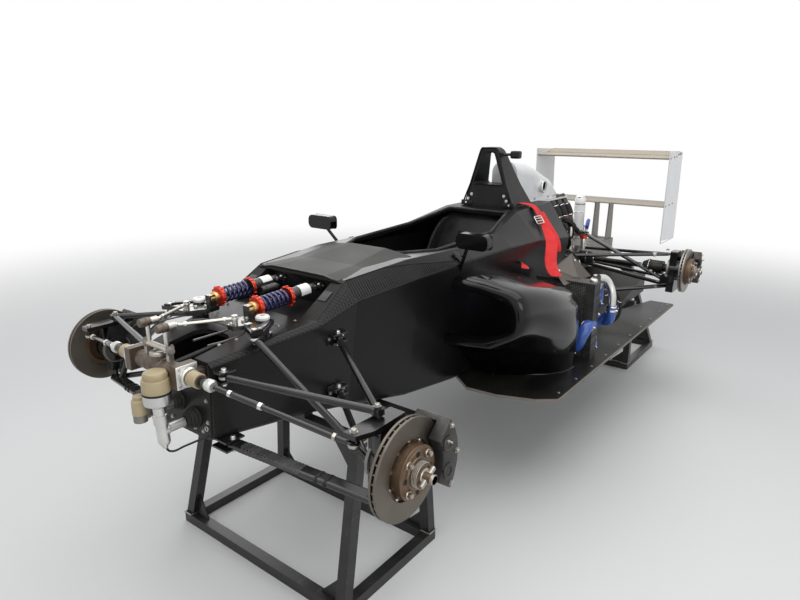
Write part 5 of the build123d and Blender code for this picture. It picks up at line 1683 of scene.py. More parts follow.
@listed
class CAR_OT_hoop_fittings(bpy.types.Operator):
    """Rolled edges, foot plates and bolts of the roll hoop"""

    bl_idname = "car.hoop_fittings"
    bl_label = "Roll hoop fittings"

    def execute(self, context):
        outer = [
            (-146, 1180), (-104, 1281), (-58, 1429), (-44, 1469), (44, 1469), (58, 1429), (104, 1281),
            (146, 1180),
        ]
        edge = rounded(outer, [0, 20, 20, 38, 38, 20, 20, 0], 7)
        bead = tubing([(-1688, p[0], min(p[1], 1464.5)) for p in edge], 4.2, smooth=False)
        finished(bead, "hoop_edge", "gloss_black")
        window = [(-88, 1281), (-40, 1419), (-30, 1445), (30, 1445), (40, 1419), (88, 1281)]
        inner = rounded(window, [10, 16, 22, 22, 16, 10], 6)
        rim = tubing([(-1688, *p) for p in inner + inner[:1]], 3.4, smooth=False)
        finished(rim, "hoop_window_rim", "gloss_black")
        heads = []
        for y in (-112, 112):
            heads.append((at(-1683, y, 1205), (1, 0, 0)))
            heads.append((at(-1689, y * 1.12, 1184), (1, 0, 0)))
            heads.append((at(-1689, y * 0.84, 1228), (1, 0, 0)))
        finished(bolts(heads, 6, 5), "hoop_bolts", "bright_alloy")
        feet = [slab((-1690, y - 32, 1170), (-1684, y + 32, 1196), 2) for y in (-122, 122)]
        finished(join(feet), "hoop_feet", "satin_black")
        box = slab((-1724, 50, 1420), (-1694, 68, 1446), 4)
        plug = drum(at(-1712, 66, 1433), at(-1742, 106, 1434), 7, 18, 1.5)
        head = slab((-1764, 98, 1414), (-1722, 146, 1452), 8, segments=3)
        finished(join([box, plug, head]), "hoop_socket", "satin_black")
        return {"FINISHED"}


@listed
class CAR_OT_mirror_fittings(bpy.types.Operator):
    """Glass, rims and foot plates of the mirrors"""

    bl_idname = "car.mirror_fittings"
    bl_label = "Mirror fittings"

    def execute(self, context):
        outline = rounded_box(64, 24, 14)
        glass = plate(outline, 1.4, aim(at(-904, 400, 1142), (-1, 0, 0)), 0.4)
        pair(glass, "mirror_glass", "mirror_glass")
        wide = rounded_box(68, 28, 16)
        rim = tubing([(-906, 400 + a, 1142 + b) for a, b in wide + wide[:1]], 2.6, smooth=False)
        pair(rim, "mirror_rim", "gloss_black")
        foot = plate(rounded_box(16, 30, 10), 4, aim(at(-945, 297, 1058), (0, 0.62, 0.78)), 1)
        heads = bolts(
            [(at(-966, 299, 1061), (0, 0.62, 0.78)), (at(-924, 299, 1061), (0, 0.62, 0.78))], 4, 3
        )
        pair(join([foot, heads]), "mirror_foot", "satin_black")
        return {"FINISHED"}


# Corners

FRONT_CORNER = {"axle": FRONT_AXLE, "face": 758.0, "radius": 139.0}
REAR_CORNER = {"axle": REAR_AXLE, "face": 800.0, "radius": 127.0}
DISC_INNER, DISC_THICKNESS, BELL_DEPTH = 84.0, 22.0, 25.0
FACE_THICKNESS = 7.4
VANE_SLANT = 0.16
# Degrees down from the front round the axle, and how far a caliper stands out from the disc
PISTON_ANGLES = (157, 199)
CALIPER_REACH = 44


def corner_place(corner, y):
    """Matrix on the left wheel axis at y, its Z axis outboard and its Y axis up."""
    x, z = corner["axle"]
    turn = Matrix(((1, 0, 0), (0, 0, 1), (0, -1, 0))).to_4x4()
    return moved(x, y, z) @ turn


@listed
class CAR_OT_brake_discs(bpy.types.Operator):
    """Vented brake discs, in place of the plain rings"""

    bl_idname = "car.brake_discs"
    bl_label = "Brake discs"

    def execute(self, context):
        for corner, name, finish in (
            (FRONT_CORNER, "front", "front_iron"),
            (REAR_CORNER, "rear", "rear_iron"),
        ):
            disc = self.disc(corner)
            for piece, side in ((disc, "left"), (mirrored(disc), "right")):
                finished(
                    piece, f"{name}_vented_disc_{side}", finish, f"{name}_hub_{side}", slot="disc_iron"
                )
                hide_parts(f"{name}_disc_{side}")
        return {"FINISHED"}

    def disc(self, corner):
        outer = corner["radius"]
        back = corner_place(corner, corner["face"] - DISC_THICKNESS)
        rings = []
        for low, high in ((0, FACE_THICKNESS), (DISC_THICKNESS - FACE_THICKNESS, DISC_THICKNESS)):
            profile = [
                (DISC_INNER, low),
                (outer - 1, low),
                (outer, low + 1),
                (outer, high - 1),
                (outer - 1, high),
                (DISC_INNER, high),
                (DISC_INNER, low),
            ]
            rings.append(lathe(profile, back, 96, closed=True))
        vane = block((outer - DISC_INNER - 4, 5, DISC_THICKNESS - 13), 1.5, 1)
        middle = (outer + DISC_INNER) / 2
        turns = []
        count = sizes().vent_count
        for index in range(count):
            place = back @ polar(360 * index / count, middle, DISC_THICKNESS / 2)
            turns.append(place @ Matrix.Rotation(VANE_SLANT, 4, "Z"))
        return join(rings + [spread(vane, turns)])


@listed
class CAR_OT_hub_fittings(bpy.types.Operator):
    """Bobbins, painted shade in the bell holes, pegs, nose threads and cross bars of the four hubs"""

    bl_idname = "car.hub_fittings"
    bl_label = "Hub fittings"

    def execute(self, context):
        for corner, name in ((FRONT_CORNER, "front"), (REAR_CORNER, "rear")):
            bell_face = corner["face"] + BELL_DEPTH
            here = corner_place(corner, bell_face)
            bodies = (f"{name}_hub_left", f"{name}_hub_right")
            bell = self.bell(here)
            nose = self.nose(here)
            # The bell holes are painted shade: black cups in the rubber finish
            dark = self.holes(here)
            pegs = self.pegs(here)
            bobbins = self.bobbins(corner)
            pair(bell, name + "_bell_rings", "bell_bronze", bodies)
            pair(nose, name + "_hub_nose_rings", "hub_steel", bodies)
            pair(dark, name + "_bell_holes", "rubber", bodies)
            pair(pegs, name + "_drive_pegs", "hub_steel", bodies)
            pair(bobbins, name + "_bobbins", "hub_steel", bodies)
        return {"FINISHED"}

    def around(self, here, count, radius, height, first=0.0):
        for index in range(count):
            yield here @ polar(360 * index / count + first, radius, height)

    def bell(self, here):
        rim = lathe(
            [(66, 0), (73.4, -0.4), (73.9, -3), (73.9, -6), (73.4, -8), (73.4, -3)], here, 64, closed=True
        )
        step = lathe([(36, 0), (36, 3), (44, 3), (46, 0)], here, 48, closed=True)
        groove = lathe([(61, 0), (61.6, 1.2), (63.4, 1.2), (64, 0)], here, 64, closed=True)
        return join([rim, step, groove])

    def nose(self, here):
        rings = [
            lathe([(34, h), (35.2, h + 0.8), (35.2, h + 2.0), (34, h + 2.8)], here, 48, closed=True)
            for h in (3, 7.5, 12, 16.5)
        ]
        washer = lathe([(12, 18), (21.5, 18), (21.5, 22), (19, 24), (12, 24)], here, 36, closed=True)
        end = lathe([(12, 42), (13.6, 44), (13.6, 50), (11, 52), (4, 52)], here, 28)
        bar = self.cross_bar(here)
        return join(rings + [washer, end, bar])

    def cross_bar(self, here):
        bar = block((64, 11, 11), 1.6)
        return place_by(bar, here @ Matrix.Rotation(0.5, 4, "Z") @ Matrix.Translation((0, 0, 29 * MM)))

    def holes(self, here):
        # Painted shade: flat black cups on the bell face stand for the shade inside its holes
        cup = lathe([(7.6, 0.2), (7.6, 0.9), (5.5, 0.9), (5.5, 0.3)], Matrix.Identity(4), 22)
        return spread(cup, list(self.around(here, 2, 52, 0, 0)) + list(self.around(here, 2, 52, 0, 90)))

    def pegs(self, here):
        collar = lathe(
            [(7.2, 0), (11, 0), (11, 2.4), (9.6, 4), (7.2, 4)], Matrix.Identity(4), 24, closed=True
        )
        tip = lathe([(7.2, 9), (7.4, 10), (7.4, 13), (5, 14.6), (2, 14.8)], Matrix.Identity(4), 20)
        return spread(join([collar, tip]), list(self.around(here, 4, 57, 0, 45)))

    def bobbins(self, corner):
        flange = corner_place(corner, corner["face"] - DISC_THICKNESS + 12)
        bobbin = lathe([(4.6, -2), (5.6, -1), (5.6, 6), (4, 8), (2, 8)], Matrix.Identity(4), 14)
        return spread(bobbin, list(self.around(flange, 10, 79, 0, math.degrees(0.3))))


@listed
class CAR_OT_calipers(bpy.types.Operator):
    """Rounded calipers with their bosses, bridges, bolts and unions"""

    bl_idname = "car.calipers"
    bl_label = "Calipers"

    def execute(self, context):
        for corner, name, nodes in (
            (FRONT_CORNER, "front", ("front_caliper_left", "front_caliper_right")),
            (REAR_CORNER, "rear", ("rear_calipers",)),
        ):
            bodies = ("front_upright_left", "front_upright_right") if name == "front" else CHASSIS
            details = self.details(corner)
            pair(details, name + "_caliper_bosses", "caliper_grey", bodies)
            fixings = self.fixings(corner)
            pair(fixings, name + "_caliper_fixings", "hub_steel", bodies)
            for node in nodes:
                side_body = node.replace("caliper", "upright") if name == "front" else CHASSIS
                body = softened(node, 5.0)
                finished(body, node + "_cast", "caliper_grey", side_body, smooth=45)
                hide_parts(node)
        return {"FINISHED"}

    def seats(self, corner):
        """Two piston places round the axle, behind it."""
        middle = (corner["radius"] + DISC_INNER) / 2 + 2
        for degrees in PISTON_ANGLES:
            yield polar(-degrees, middle)

    def details(self, corner):
        out = corner_place(corner, corner["face"] + CALIPER_REACH)
        inside = corner_place(
            corner, corner["face"] - DISC_THICKNESS - CALIPER_REACH
        ) @ Matrix.Rotation(math.pi, 4, "X")
        boss = lathe([(22, -3), (22, 3), (19, 6), (12, 6.5), (12, 4.5), (6, 4.5)], Matrix.Identity(4), 32)
        back = [inside @ polar(degrees, 114) for degrees in PISTON_ANGLES]
        round_bosses = spread(boss, [out @ seat for seat in self.seats(corner)] + back)
        bridge = block((9, 13, 96), 3)
        middle = corner_place(corner, corner["face"] - DISC_THICKNESS / 2)
        radius = corner["radius"] + 23
        places = [middle @ polar(-degrees, radius) for degrees in (145, 162, 178, 194, 211)]
        return join([round_bosses, spread(bridge, places)])

    def fixings(self, corner):
        out = corner_place(corner, corner["face"] + CALIPER_REACH)
        radius = corner["radius"] + 11
        bolt = hex_bolt(6, 6)
        heads = spread(bolt, [out @ polar(-degrees, radius) for degrees in (143, 178, 213)])
        nipple = lathe([(5, 0), (5, 8), (3.4, 9), (3.4, 17), (2, 18)], Matrix.Identity(4), 12)
        return join([heads, place_by(nipple, out @ polar(-150, 112, 2))])


@listed
class CAR_OT_upright_fittings(bpy.types.Operator):
    """Dusty plates, bosses and nuts on the uprights"""

    bl_idname = "car.upright_fittings"
    bl_label = "Upright fittings"

    def execute(self, context):
        bodies = ("front_upright_left", "front_upright_right")
        ring_piece = lathe(
            [(49, -3), (54, -2), (54, 7), (49, 9)], corner_place(FRONT_CORNER, 655), 40, closed=True
        )
        cap = lathe([(48, -6), (48, 4), (40, 4)], corner_place(FRONT_CORNER, 655), 40, closed=True)
        pair(join([ring_piece, cap]), "front_bearing_rings", "cast_alloy", bodies)
        nuts = bolts([(at(95, 656, 836), (0, 0, 1)), (at(-5.4, 648, 864), (-0.04, -0.12, 1))], 8, 7)
        pair(nuts, "steering_arm_nuts", "hub_steel", bodies)
        webs = [slab((x, 668, 740), (x + 7, 696, 818), 2) for x in (-44, 34)]
        pair(join(webs), "front_upright_webs", "black_steel", bodies)
        rear_ring = lathe(
            [(52, -3), (57, -2), (57, 9), (52, 11)], corner_place(REAR_CORNER, 697), 40, closed=True
        )
        pair(rear_ring, "rear_bearing_rings", "cast_alloy")
        rear_nuts = bolts(
            [
                (at(-2656, 682, 880), (0, 0, 1)),
                (at(-2697, 705, 640), (0, 0, -1)),
                (at(-2763, 718, 690), (0, 1, 0)),
                (at(-2588, 706, 740), (0, 0, 1)),
            ],
            8,
            7,
        )
        pair(rear_nuts, "rear_upright_nuts", "hub_steel")
        return {"FINISHED"}


# Sidepods, cooling and floor

# x, foot y and z, low edge y and z, side y and z, top edge y and z, crown z, inner top z
POD_ROWS = (
    (-883, 262, 700, 480, 722, 634, 815, 612, 966, 984, 978),
    (-930, 262, 684, 490, 712, 642, 806, 620, 964, 990, 994),
    (-1030, 268, 630, 524, 694, 654, 790, 634, 950, 988, 1003),
    (-1165, 336, 492, 590, 660, 668, 762, 646, 924, 962, 983),
    (-1326, 535, 489, 622, 606, 666, 704, 644, 888, 925, 943),
    (-1427, 598, 489, 616, 590, 640, 660, 628, 872, 892, 910),
    (-1502, 604, 489, 606, 556, 609, 612, 607, 857, 860, 880),
)

# x of a section, then how far its outer and its inner skin stand in from the table
POD_SKINS = (
    (-1502, 4.5, 4.5), (-1499, 0.5, 9), (-1480, 0, 10), (-1440, 0, 12), (-1390, 0, 16), (-1340, 0, 21),
    (-1290, 0, 26),
    (-1240, 0, 32), (-1190, 0, 38), (-1140, 0, 43), (-1090, 0, 48), (-1040, 0, 52), (-1000, 0, 55),
    (-965, 0, 57),
    (-935, 0, 57), (-912, 1, 54), (-896, 5, 48), (-887, 13, 41), (-883.5, 27, 27),
)


def pod_row(x):
    """Section values at station x, on a smooth curve through the table's rows."""
    index = 0
    while index < len(POD_ROWS) - 2 and x < POD_ROWS[index + 1][0]:
        index += 1
    first, second = POD_ROWS[index], POD_ROWS[index + 1]
    before, after = POD_ROWS[max(index - 1, 0)], POD_ROWS[min(index + 2, len(POD_ROWS) - 1)]
    run = second[0] - first[0]
    share = min(max((x - first[0]) / run, 0.0), 1.0)
    values = []
    for a, b, c, d in zip(before, first, second, after):
        leave = (c - a) / (second[0] - before[0]) * run
        arrive = (d - b) / (after[0] - first[0]) * run
        square, cube = share * share, share ** 3
        values.append(
            (2 * cube - 3 * square + 1) * b
            + (cube - 2 * square + share) * leave
            + (3 * square - 2 * cube) * c
            + (cube - square) * arrive
        )
    return values


def pod_section(x, inset):
    """Rounded section of the left sidepod, as (y, z) points from its foot over its side to the tub."""
    _, foot_y, foot_z, low_y, low_z, side_y, side_z, top_y, top_z, crown_z, inner_z = pod_row(x)
    landed = min(max((700 - foot_z) / 211, 0.0), 1.0)
    points = [
        (max(foot_y - inset * landed, 262), foot_z + inset * (1 - landed)),
        (low_y - inset * 0.7, low_z + inset * 0.8 * (1 - landed * 0.6)),
        (side_y - inset, side_z),
        (top_y - inset, top_z - inset),
        (440, crown_z - inset),
        (262, inner_z - inset),
    ]
    return rounded(points, [0, 60, 120, 118, 160, 0], 7)


@listed
class CAR_OT_sidepods(bpy.types.Operator):
    """Sidepod shells with their rolled mouths, and the beads along their feet"""

    bl_idname = "car.sidepods"
    bl_label = "Sidepods"

    def execute(self, context):
        left = self.shell()
        right = mirrored(left)
        for piece, side in ((left, "left"), (right, "right")):
            finished(piece, "sidepod_shell_" + side, "gloss_black", smooth=50)
            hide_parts("sidepod_" + side)
        feet = [(x, pod_row(x)[1]) for x in (-1180, -1230, -1280, -1326, -1380, -1427, -1465, -1500)]
        bead = tubing([(x, y + 1, 491) for x, y in feet], 4)
        pair(bead, "sidepod_foot_bead", "gloss_black")
        heads = [(at(x, 300, pod_row(x)[10] - 4), (-0.15, 0.1, 1)) for x in (-1080, -1230, -1370, -1470)]
        pair(bolts(heads, 4.2, 2.4), "sidepod_screws", "satin_black")
        return {"FINISHED"}

    def shell(self):
        """Outer skin, rolled lip, inner skin and thin rear edge in one closed sheet"""
        outer = [[(x, y, z) for y, z in pod_section(x, skin)] for x, skin, _ in POD_SKINS]
        inner = [[(x, y, z) for y, z in pod_section(x, skin)] for x, _, skin in POD_SKINS]
        rings = []
        for near, far in list(zip(outer, inner)) + list(zip(inner, outer))[-2::-1]:
            first = [(a + b) / 2 for a, b in zip(near[0], far[0])]
            last = [(a + b) / 2 for a, b in zip(near[-1], far[-1])]
            rings.append([first] + near + [last])
        across, count = len(rings[0]), len(rings)
        begin()
        bpy.ops.mesh.primitive_grid_add(x_subdivisions=across - 1, y_subdivisions=count - 1, size=1)
        piece = bpy.context.object
        for vertex in piece.data.vertices:
            column = round((vertex.co.x + 0.5) * (across - 1))
            row = round((vertex.co.y + 0.5) * (count - 1))
            vertex.co = at(*rings[row][column])
        return outward(piece)


@listed
class CAR_OT_cooling(bpy.types.Operator):
    """Radiator cores, caps, hoses and clamps"""

    bl_idname = "car.cooling"
    bl_label = "Cooling"

    def execute(self, context):
        self.cores()
        self.tanks()
        self.hoses()
        self.covers()
        return {"FINISHED"}

    def lean_at(self, z):
        """Shift along the car of the leaning radiator at height z."""
        return 20 * (z - 489) / (860 - 489)

    def cores(self):
        for x, name in ((-1640, "front"), (-1700, "rear")):
            side = 1 if name == "front" else -1
            rows = []
            z = 500.0
            while z < 850:
                rows.append(z)
                z += sizes().fin_pitch
            fin = block((3.4, 248, 2.4))
            places = [moved(x + self.lean_at(z) + side * 0.8, 462, z) for z in rows]
            fins = spread(fin, places)
            post = block((2.6, 1.4, 366))
            tilt = Matrix.Rotation(math.atan2(20, 371), 4, "Y")
            columns = [moved(x + 10 + side * 0.4, y, 674) @ tilt for y in range(340, 590, 9)]
            core = join([fins, spread(post, columns)])
            pair(core, f"radiator_core_{name}", "bright_alloy", smooth=20)

    def tanks(self):
        top = slab((-1704, 334, 858), (-1616, 632, 868), 3)
        ribs = [
            slab((-1706, 590, z), (-1630, 633, z + 5), 1.5, Matrix.Rotation(0.054, 4, "Y"))
            for z in range(520, 850, 42)
        ]
        cap = lathe([(15, 0), (18, 2), (18, 12), (15, 15), (6, 16)], moved(-1660, 606, 867), 24)
        pair(join([top] + ribs), "radiator_frame", "black_machinery")
        pair(cap, "radiator_cap", "bright_alloy")
        header = slab((-1768, 560, 812), (-1722, 616, 868), 10, Matrix.Rotation(0.1, 4, "Y"))
        neck = lathe([(13, 0), (16, 2), (16, 16), (13, 18)], moved(-1744, 588, 866), 24)
        seam = slab((-1770, 558, 836), (-1720, 618, 840), 1)
        pair(join([header, neck, seam]), "header_tank", "bright_alloy")

    def hoses(self):
        runs = (
            (
                "upper_pipe",
                [
                    (-1700, 612, 880), (-1735, 634, 872), (-1752, 650, 845), (-1756, 666, 800),
                    (-1758, 670, 738),
                ],
                18.5, "bright_alloy",
            ),
            (
                "blue_elbow",
                [
                    (-1757.8, 669.5, 744), (-1759, 670, 706), (-1774, 662, 668), (-1806, 628, 643),
                    (-1850, 556, 640),
                ],
                22, "blue_silicone",
            ),
            (
                "cross_pipe",
                [
                    (-1846, 562, 641), (-1920, 450, 612), (-2000, 330, 580), (-2080, 260, 570),
                    (-2168, 190, 560), (-2172, 124, 560),
                ],
                18, "bright_alloy",
            ),
            (
                "blue_upper_hose",
                [
                    (-1716, 590, 846), (-1748, 596, 850), (-1762, 600, 812), (-1752, 606, 766),
                    (-1716, 612, 748),
                ],
                20, "blue_silicone",
            ),
            (
                "blue_front_hose",
                [
                    (-1650, 616, 664), (-1618, 612, 660), (-1592, 604, 634), (-1584, 592, 596),
                    (-1592, 574, 560), (-1620, 548, 540), (-1650, 530, 534),
                ],
                29, "blue_silicone",
            ),
            (
                "blue_lower_hose",
                [
                    (-1706, 606, 530), (-1740, 606, 532), (-1762, 584, 560), (-1790, 520, 574),
                    (-1900, 360, 566), (-2060, 170, 556),
                ],
                19, "blue_silicone",
            ),
        )
        for name, points, radius, finish in runs:
            piece = tubing(points, radius, sides=4)
            pair(piece, name, finish)
        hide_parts("coolant_pipes")
        clamps = (
            ((-1758, 669.6, 736), (0.02, -0.05, 1), 23),
            ((-1758.4, 669.8, 718), (0.03, 0, 1), 23),
            ((-1841, 572, 645), (0.5, 0.8, 0.2), 23),
            ((-1614, 611.5, 658), (1, 0.1, 0.3), 30),
            ((-1618, 550, 541), (0.9, 0.6, 0.4), 30),
            ((-1722, 591, 849), (1, -0.1, 0), 21),
            ((-1724, 611, 750), (1, 0.1, -0.4), 21),
            ((-1716, 606, 530), (1, 0, 0), 20),
            ((-1930, 318, 564), (0.6, 0.75, 0), 20),
            ((-1766, 585, 558), (0.6, 0.7, -0.5), 20),
        )
        bands = []
        for place, direction, radius in clamps:
            band = lathe(
                [
                    (radius - 2, -5), (radius + 0.4, -5), (radius + 0.8, 0), (radius + 0.4, 5),
                    (radius - 2, 5),
                ],
                aim(at(*place), direction), 28,
            )
            bands.append(band)
            screw_side = aim(at(*place), direction) @ Vector((radius * MM, 0, 0))
            bands.append(
                drum(screw_side + Vector((0, 0.007, 0)), screw_side - Vector((0, 0.007, 0)), 4, 12, 0.4)
            )
        pair(join(bands), "hose_clamps", "chrome")
        loom = tubing(
            (
                (-1800, 420, 700), (-1860, 560, 742), (-1896, 628, 776), (-1914, 656, 742),
                (-1906, 668, 690), (-1900, 652, 634), (-1902, 604, 606), (-1900, 500, 596),
                (-1980, 330, 620),
            ),
            8,
        )
        pair(loom, "wiring_loom", "rubber")
        self.fittings()

    def fittings(self):
        ties = [
            ring(at(*p), d, 9, 1.6, 18, 8)
            for p, d in (
                ((-1880, 598, 762), (0.5, 0.8, 0.4)), ((-1912, 660, 725), (0, 0.2, 1)),
                ((-1903, 632, 618), (0, 0.8, 0.5)),
            )
        ]
        pair(join(ties), "loom_ties", "label")
        pump = lathe(
            [(26, -30), (30, -26), (30, 20), (38, 24), (38, 46), (30, 50), (14, 52), (14, 64)],
            aim(at(-1856, 470, 560), (0.4, 0.9, 0.05)), 32,
        )
        foot = slab((-1900, 430, 490), (-1812, 500, 502), 2)
        pair(join([pump, foot]), "water_pump", "cast_alloy")
        pump_hose = tubing(
            [(-1830, 520, 566), (-1810, 566, 590), (-1800, 604, 640), (-1788, 648, 690)], 17, sides=4
        )
        pair(pump_hose, "pump_hose", "blue_silicone")

    def covers(self):
        """Folded creases and screws of the duct covers"""
        inner, foot, peak = at(-1658, 400, 902), at(-1700, 520, 860), at(-1755, 450, 968)
        creases = [hose([inner, foot], 3.0), hose([foot, peak], 3.0), hose([inner, peak], 2.4)]
        front = at(-1563, 500, 853)
        creases.append(hose([inner, front], 2.4))
        creases.append(hose([front, foot], 2.4))
        pair(join(creases), "cover_creases", "cover_sheet")
        heads = [
            (inner.lerp(foot, 0.2) + Vector((0.004, 0.006, 0.003)), (0.5, 0.6, 0.6)),
            (foot.lerp(peak, 0.75) + Vector((0.004, 0.008, 0)), (0.5, 0.8, 0.3)),
        ]
        pair(bolts(heads, 4, 3), "cover_screws", "bright_alloy")


@listed
class CAR_OT_floor_fittings(bpy.types.Operator):
    """Worn edge, screws, skid bolts and diffuser lip"""

    bl_idname = "car.floor_fittings"
    bl_label = "Floor fittings"

    def execute(self, context):
        half = [
            (-1085, 214), (-991, 334), (-1003, 470), (-1059, 620), (-1121, 692), (-2932, 692), (-2932, 552),
            (-2602, 470),
        ]
        edge = ribbon([(x, y, 483) for x, y in half], (0, 0, 1), 12.4, 2.6)
        pair(edge, "floor_edge", "worn_edge", smooth=20)
        heads = [(at(x, 668, 489), (0, 0, 1)) for x in range(-1180, -2900, -190)]
        for x in range(-2000, -2600, -190):
            heads.append((at(x, 300, 489), (0, 0, 1)))
        pair(bolts(heads, 5, 2.4), "floor_screws", "hub_steel")
        under = [(at(x, y, 469), (0, 0, -1)) for x in range(-1120, -2480, -220) for y in (-96, 96)]
        finished(bolts(under, 6, 2), "plank_bolts", "bright_alloy")
        lip = tubing([(-3160, -440, 603), (-3160, 440, 603)], 6, smooth=False)
        finished(lip, "diffuser_lip", "floor_board")
        return {"FINISHED"}


# Engine and gearbox

FIRST_PORT, PORT_PITCH = -2167.5, 85.0


@listed
class CAR_OT_engine_fittings(bpy.types.Operator):
    """Covers, sleeves, pulleys, leads and pipes of the open engine"""

    bl_idname = "car.engine_fittings"
    bl_label = "Engine fittings"

    def execute(self, context):
        self.cam_cover()
        self.intake()
        self.front_drive()
        self.side_units()
        self.exhaust()
        self.pipes()
        return {"FINISHED"}

    def ports(self):
        """Stations of the four cylinders."""
        return [FIRST_PORT - PORT_PITCH * index for index in range(4)]

    def cam_cover(self):
        parts = [slab((-2468, -88, 1034), (-2084, 88, 1058), 9, segments=3)]
        for y in (-62, 62):
            parts.append(slab((-2462, y - 15, 1052), (-2090, y + 15, 1068), 6, segments=3))
        for x in self.ports():
            parts.append(slab((x - 10, -40, 1054), (x + 10, 40, 1062), 3))
        finished(join(parts), "cam_cover", "cast_alloy")
        heads = [(at(x, y, 1056), (0, 0, 1)) for x in range(-2455, -2080, 52) for y in (-84, 84)]
        finished(bolts(heads, 5, 4), "cam_cover_bolts", "bright_alloy")
        coils = [
            lathe([(14, -6), (16, 0), (16, 16), (11, 22), (11, 30)], moved(x, 0, 1060), 22)
            for x in self.ports()
        ]
        finished(join(coils), "ignition_coils", "satin_black")
        lead = hose(
            [
                at(x, 4 * (-1) ** k, 1094) for k, x in enumerate(self.ports())
            ] + [at(-2470, 20, 1070), at(-2500, 60, 980)],
            5,
        )
        finished(lead, "ignition_lead", "rubber")

    def intake(self):
        sleeves, rails, clamps = [], [], []
        for x in self.ports():
            sleeves.append(tubing([(x, 158, 1062), (x, 148, 1094), (x, 126, 1132)], 23, sides=4))
            clamps.append(ring(at(x, 157, 1068), (0, -0.25, 1), 23.6, 2, 26, 8))
            clamps.append(ring(at(x, 130, 1126), (0, -0.5, 0.85), 23.6, 2, 26, 8))
            rails.append(drum(at(x, 128, 1004), at(x, 150, 1040), 7, 16, 1))
            rails.append(drum(at(x, 146, 1034), at(x, 152, 1048), 10, 16, 1))
        finished(join(sleeves), "intake_sleeves", "rubber")
        finished(join(clamps), "intake_clamps", "chrome")
        bar = drum(at(-2120, 154, 1056), at(-2462, 154, 1056), 9, 20, 2)
        finished(join(rails + [bar]), "fuel_rail", "red_anodised")
        plenum_lip = slab((-2470, 60, 1164), (-2096, 126, 1174), 3)
        finished(plenum_lip, "intake_flange", "bright_alloy")

    def front_drive(self):
        wheels = []
        for y, z, radius in ((0, 620, 62), (62, 760, 36), (-50, 956, 52), (50, 956, 52), (-86, 800, 28)):
            here = aim(at(-2062, y, z), (1, 0, 0))
            wheels.append(
                lathe(
                    [
                        (radius - 4, 0), (radius, 2), (radius - 2, 6), (radius, 10), (radius - 5, 12),
                        (radius * 0.45, 10), (radius * 0.3, 14), (4, 14),
                    ],
                    here, 36,
                )
            )
        finished(join(wheels), "front_pulleys", "bright_alloy")
        loop = [
            (62, 612), (98, 770), (104, 960), (50, 1010), (-50, 1010), (-104, 960), (-116, 800), (-62, 612),
            (0, 558),
        ]
        belt = ribbon([(-2056, y, z) for y, z in loop + loop[:1]], (1, 0, 0), 14, 3)
        finished(belt, "drive_belt", "rubber", smooth=20)

    def side_units(self):
        parts = [
            lathe(
                [(30, 0), (43, 3), (43, 24), (40, 26), (40, 100), (43, 103), (43, 127), (30, 131)],
                aim(at(-2109, 172, 660), (-1, 0, 0)), 36,
            )
        ]
        for k in range(10):
            turn = k * math.pi / 5
            out = Matrix.Rotation(turn, 4, "X") @ Matrix.Translation((0, 41 * MM, 0))
            parts.append(place_by(block((80, 3, 6), 0.6), moved(-2176, 172, 660) @ out))
        filter_can = lathe(
            [(30, 0), (38, 3), (38, 60), (34, 66), (14, 68)], aim(at(-2170, 112, 870), (0, 1, 0)), 32
        )
        tank = lathe([(30, 0), (36.5, 3), (36.5, 150), (30, 154)], aim(at(-2282, 176, 650), (-1, 0, 0)), 32)
        parts += [filter_can, tank]
        finished(join(parts), "engine_side_units", "cast_alloy")
        bands = [ring(at(x, 176, 650), (1, 0, 0), 37.5, 2.2, 32, 8) for x in (-2310, -2400)]
        finished(join(bands), "tank_bands", "chrome")
        heads = []
        for x in range(-2470, -2080, 48):
            for side in (-1, 1):
                heads.append((at(x, side * 156, 520), (0, side, 0)))
                heads.append((at(x, side * 112, 930), (0, side, 0)))
        finished(bolts(heads, 5, 4), "case_bolts", "bright_alloy")

    def exhaust(self):
        shields = []
        for x in self.ports():
            points = [
                at(x, -118, 922), at(x, -172, 900), at(x - 10, -194, 850), at(x - 20, -206, 800),
                at((x - 2440) / 2, -207, 752), at(-2410, -207, 706),
            ]
            shields.append(hose(points, 19, sides=4))
        finished(join(shields), "exhaust_headers", "copper")
        tail = lathe(
            [(31, 0), (33, 2), (33, 60), (31, 62), (31, 330), (34, 334), (34, 380), (30, 388)],
            aim(at(-2424, -206, 699), (-390, -29, -9)), 36,
        )
        finished(tail, "exhaust_tail", "copper")
        flanges = [slab((x - 26, -118, 912), (x + 26, -110, 946), 2.5) for x in self.ports()]
        finished(join(flanges), "exhaust_flanges", "hub_steel")

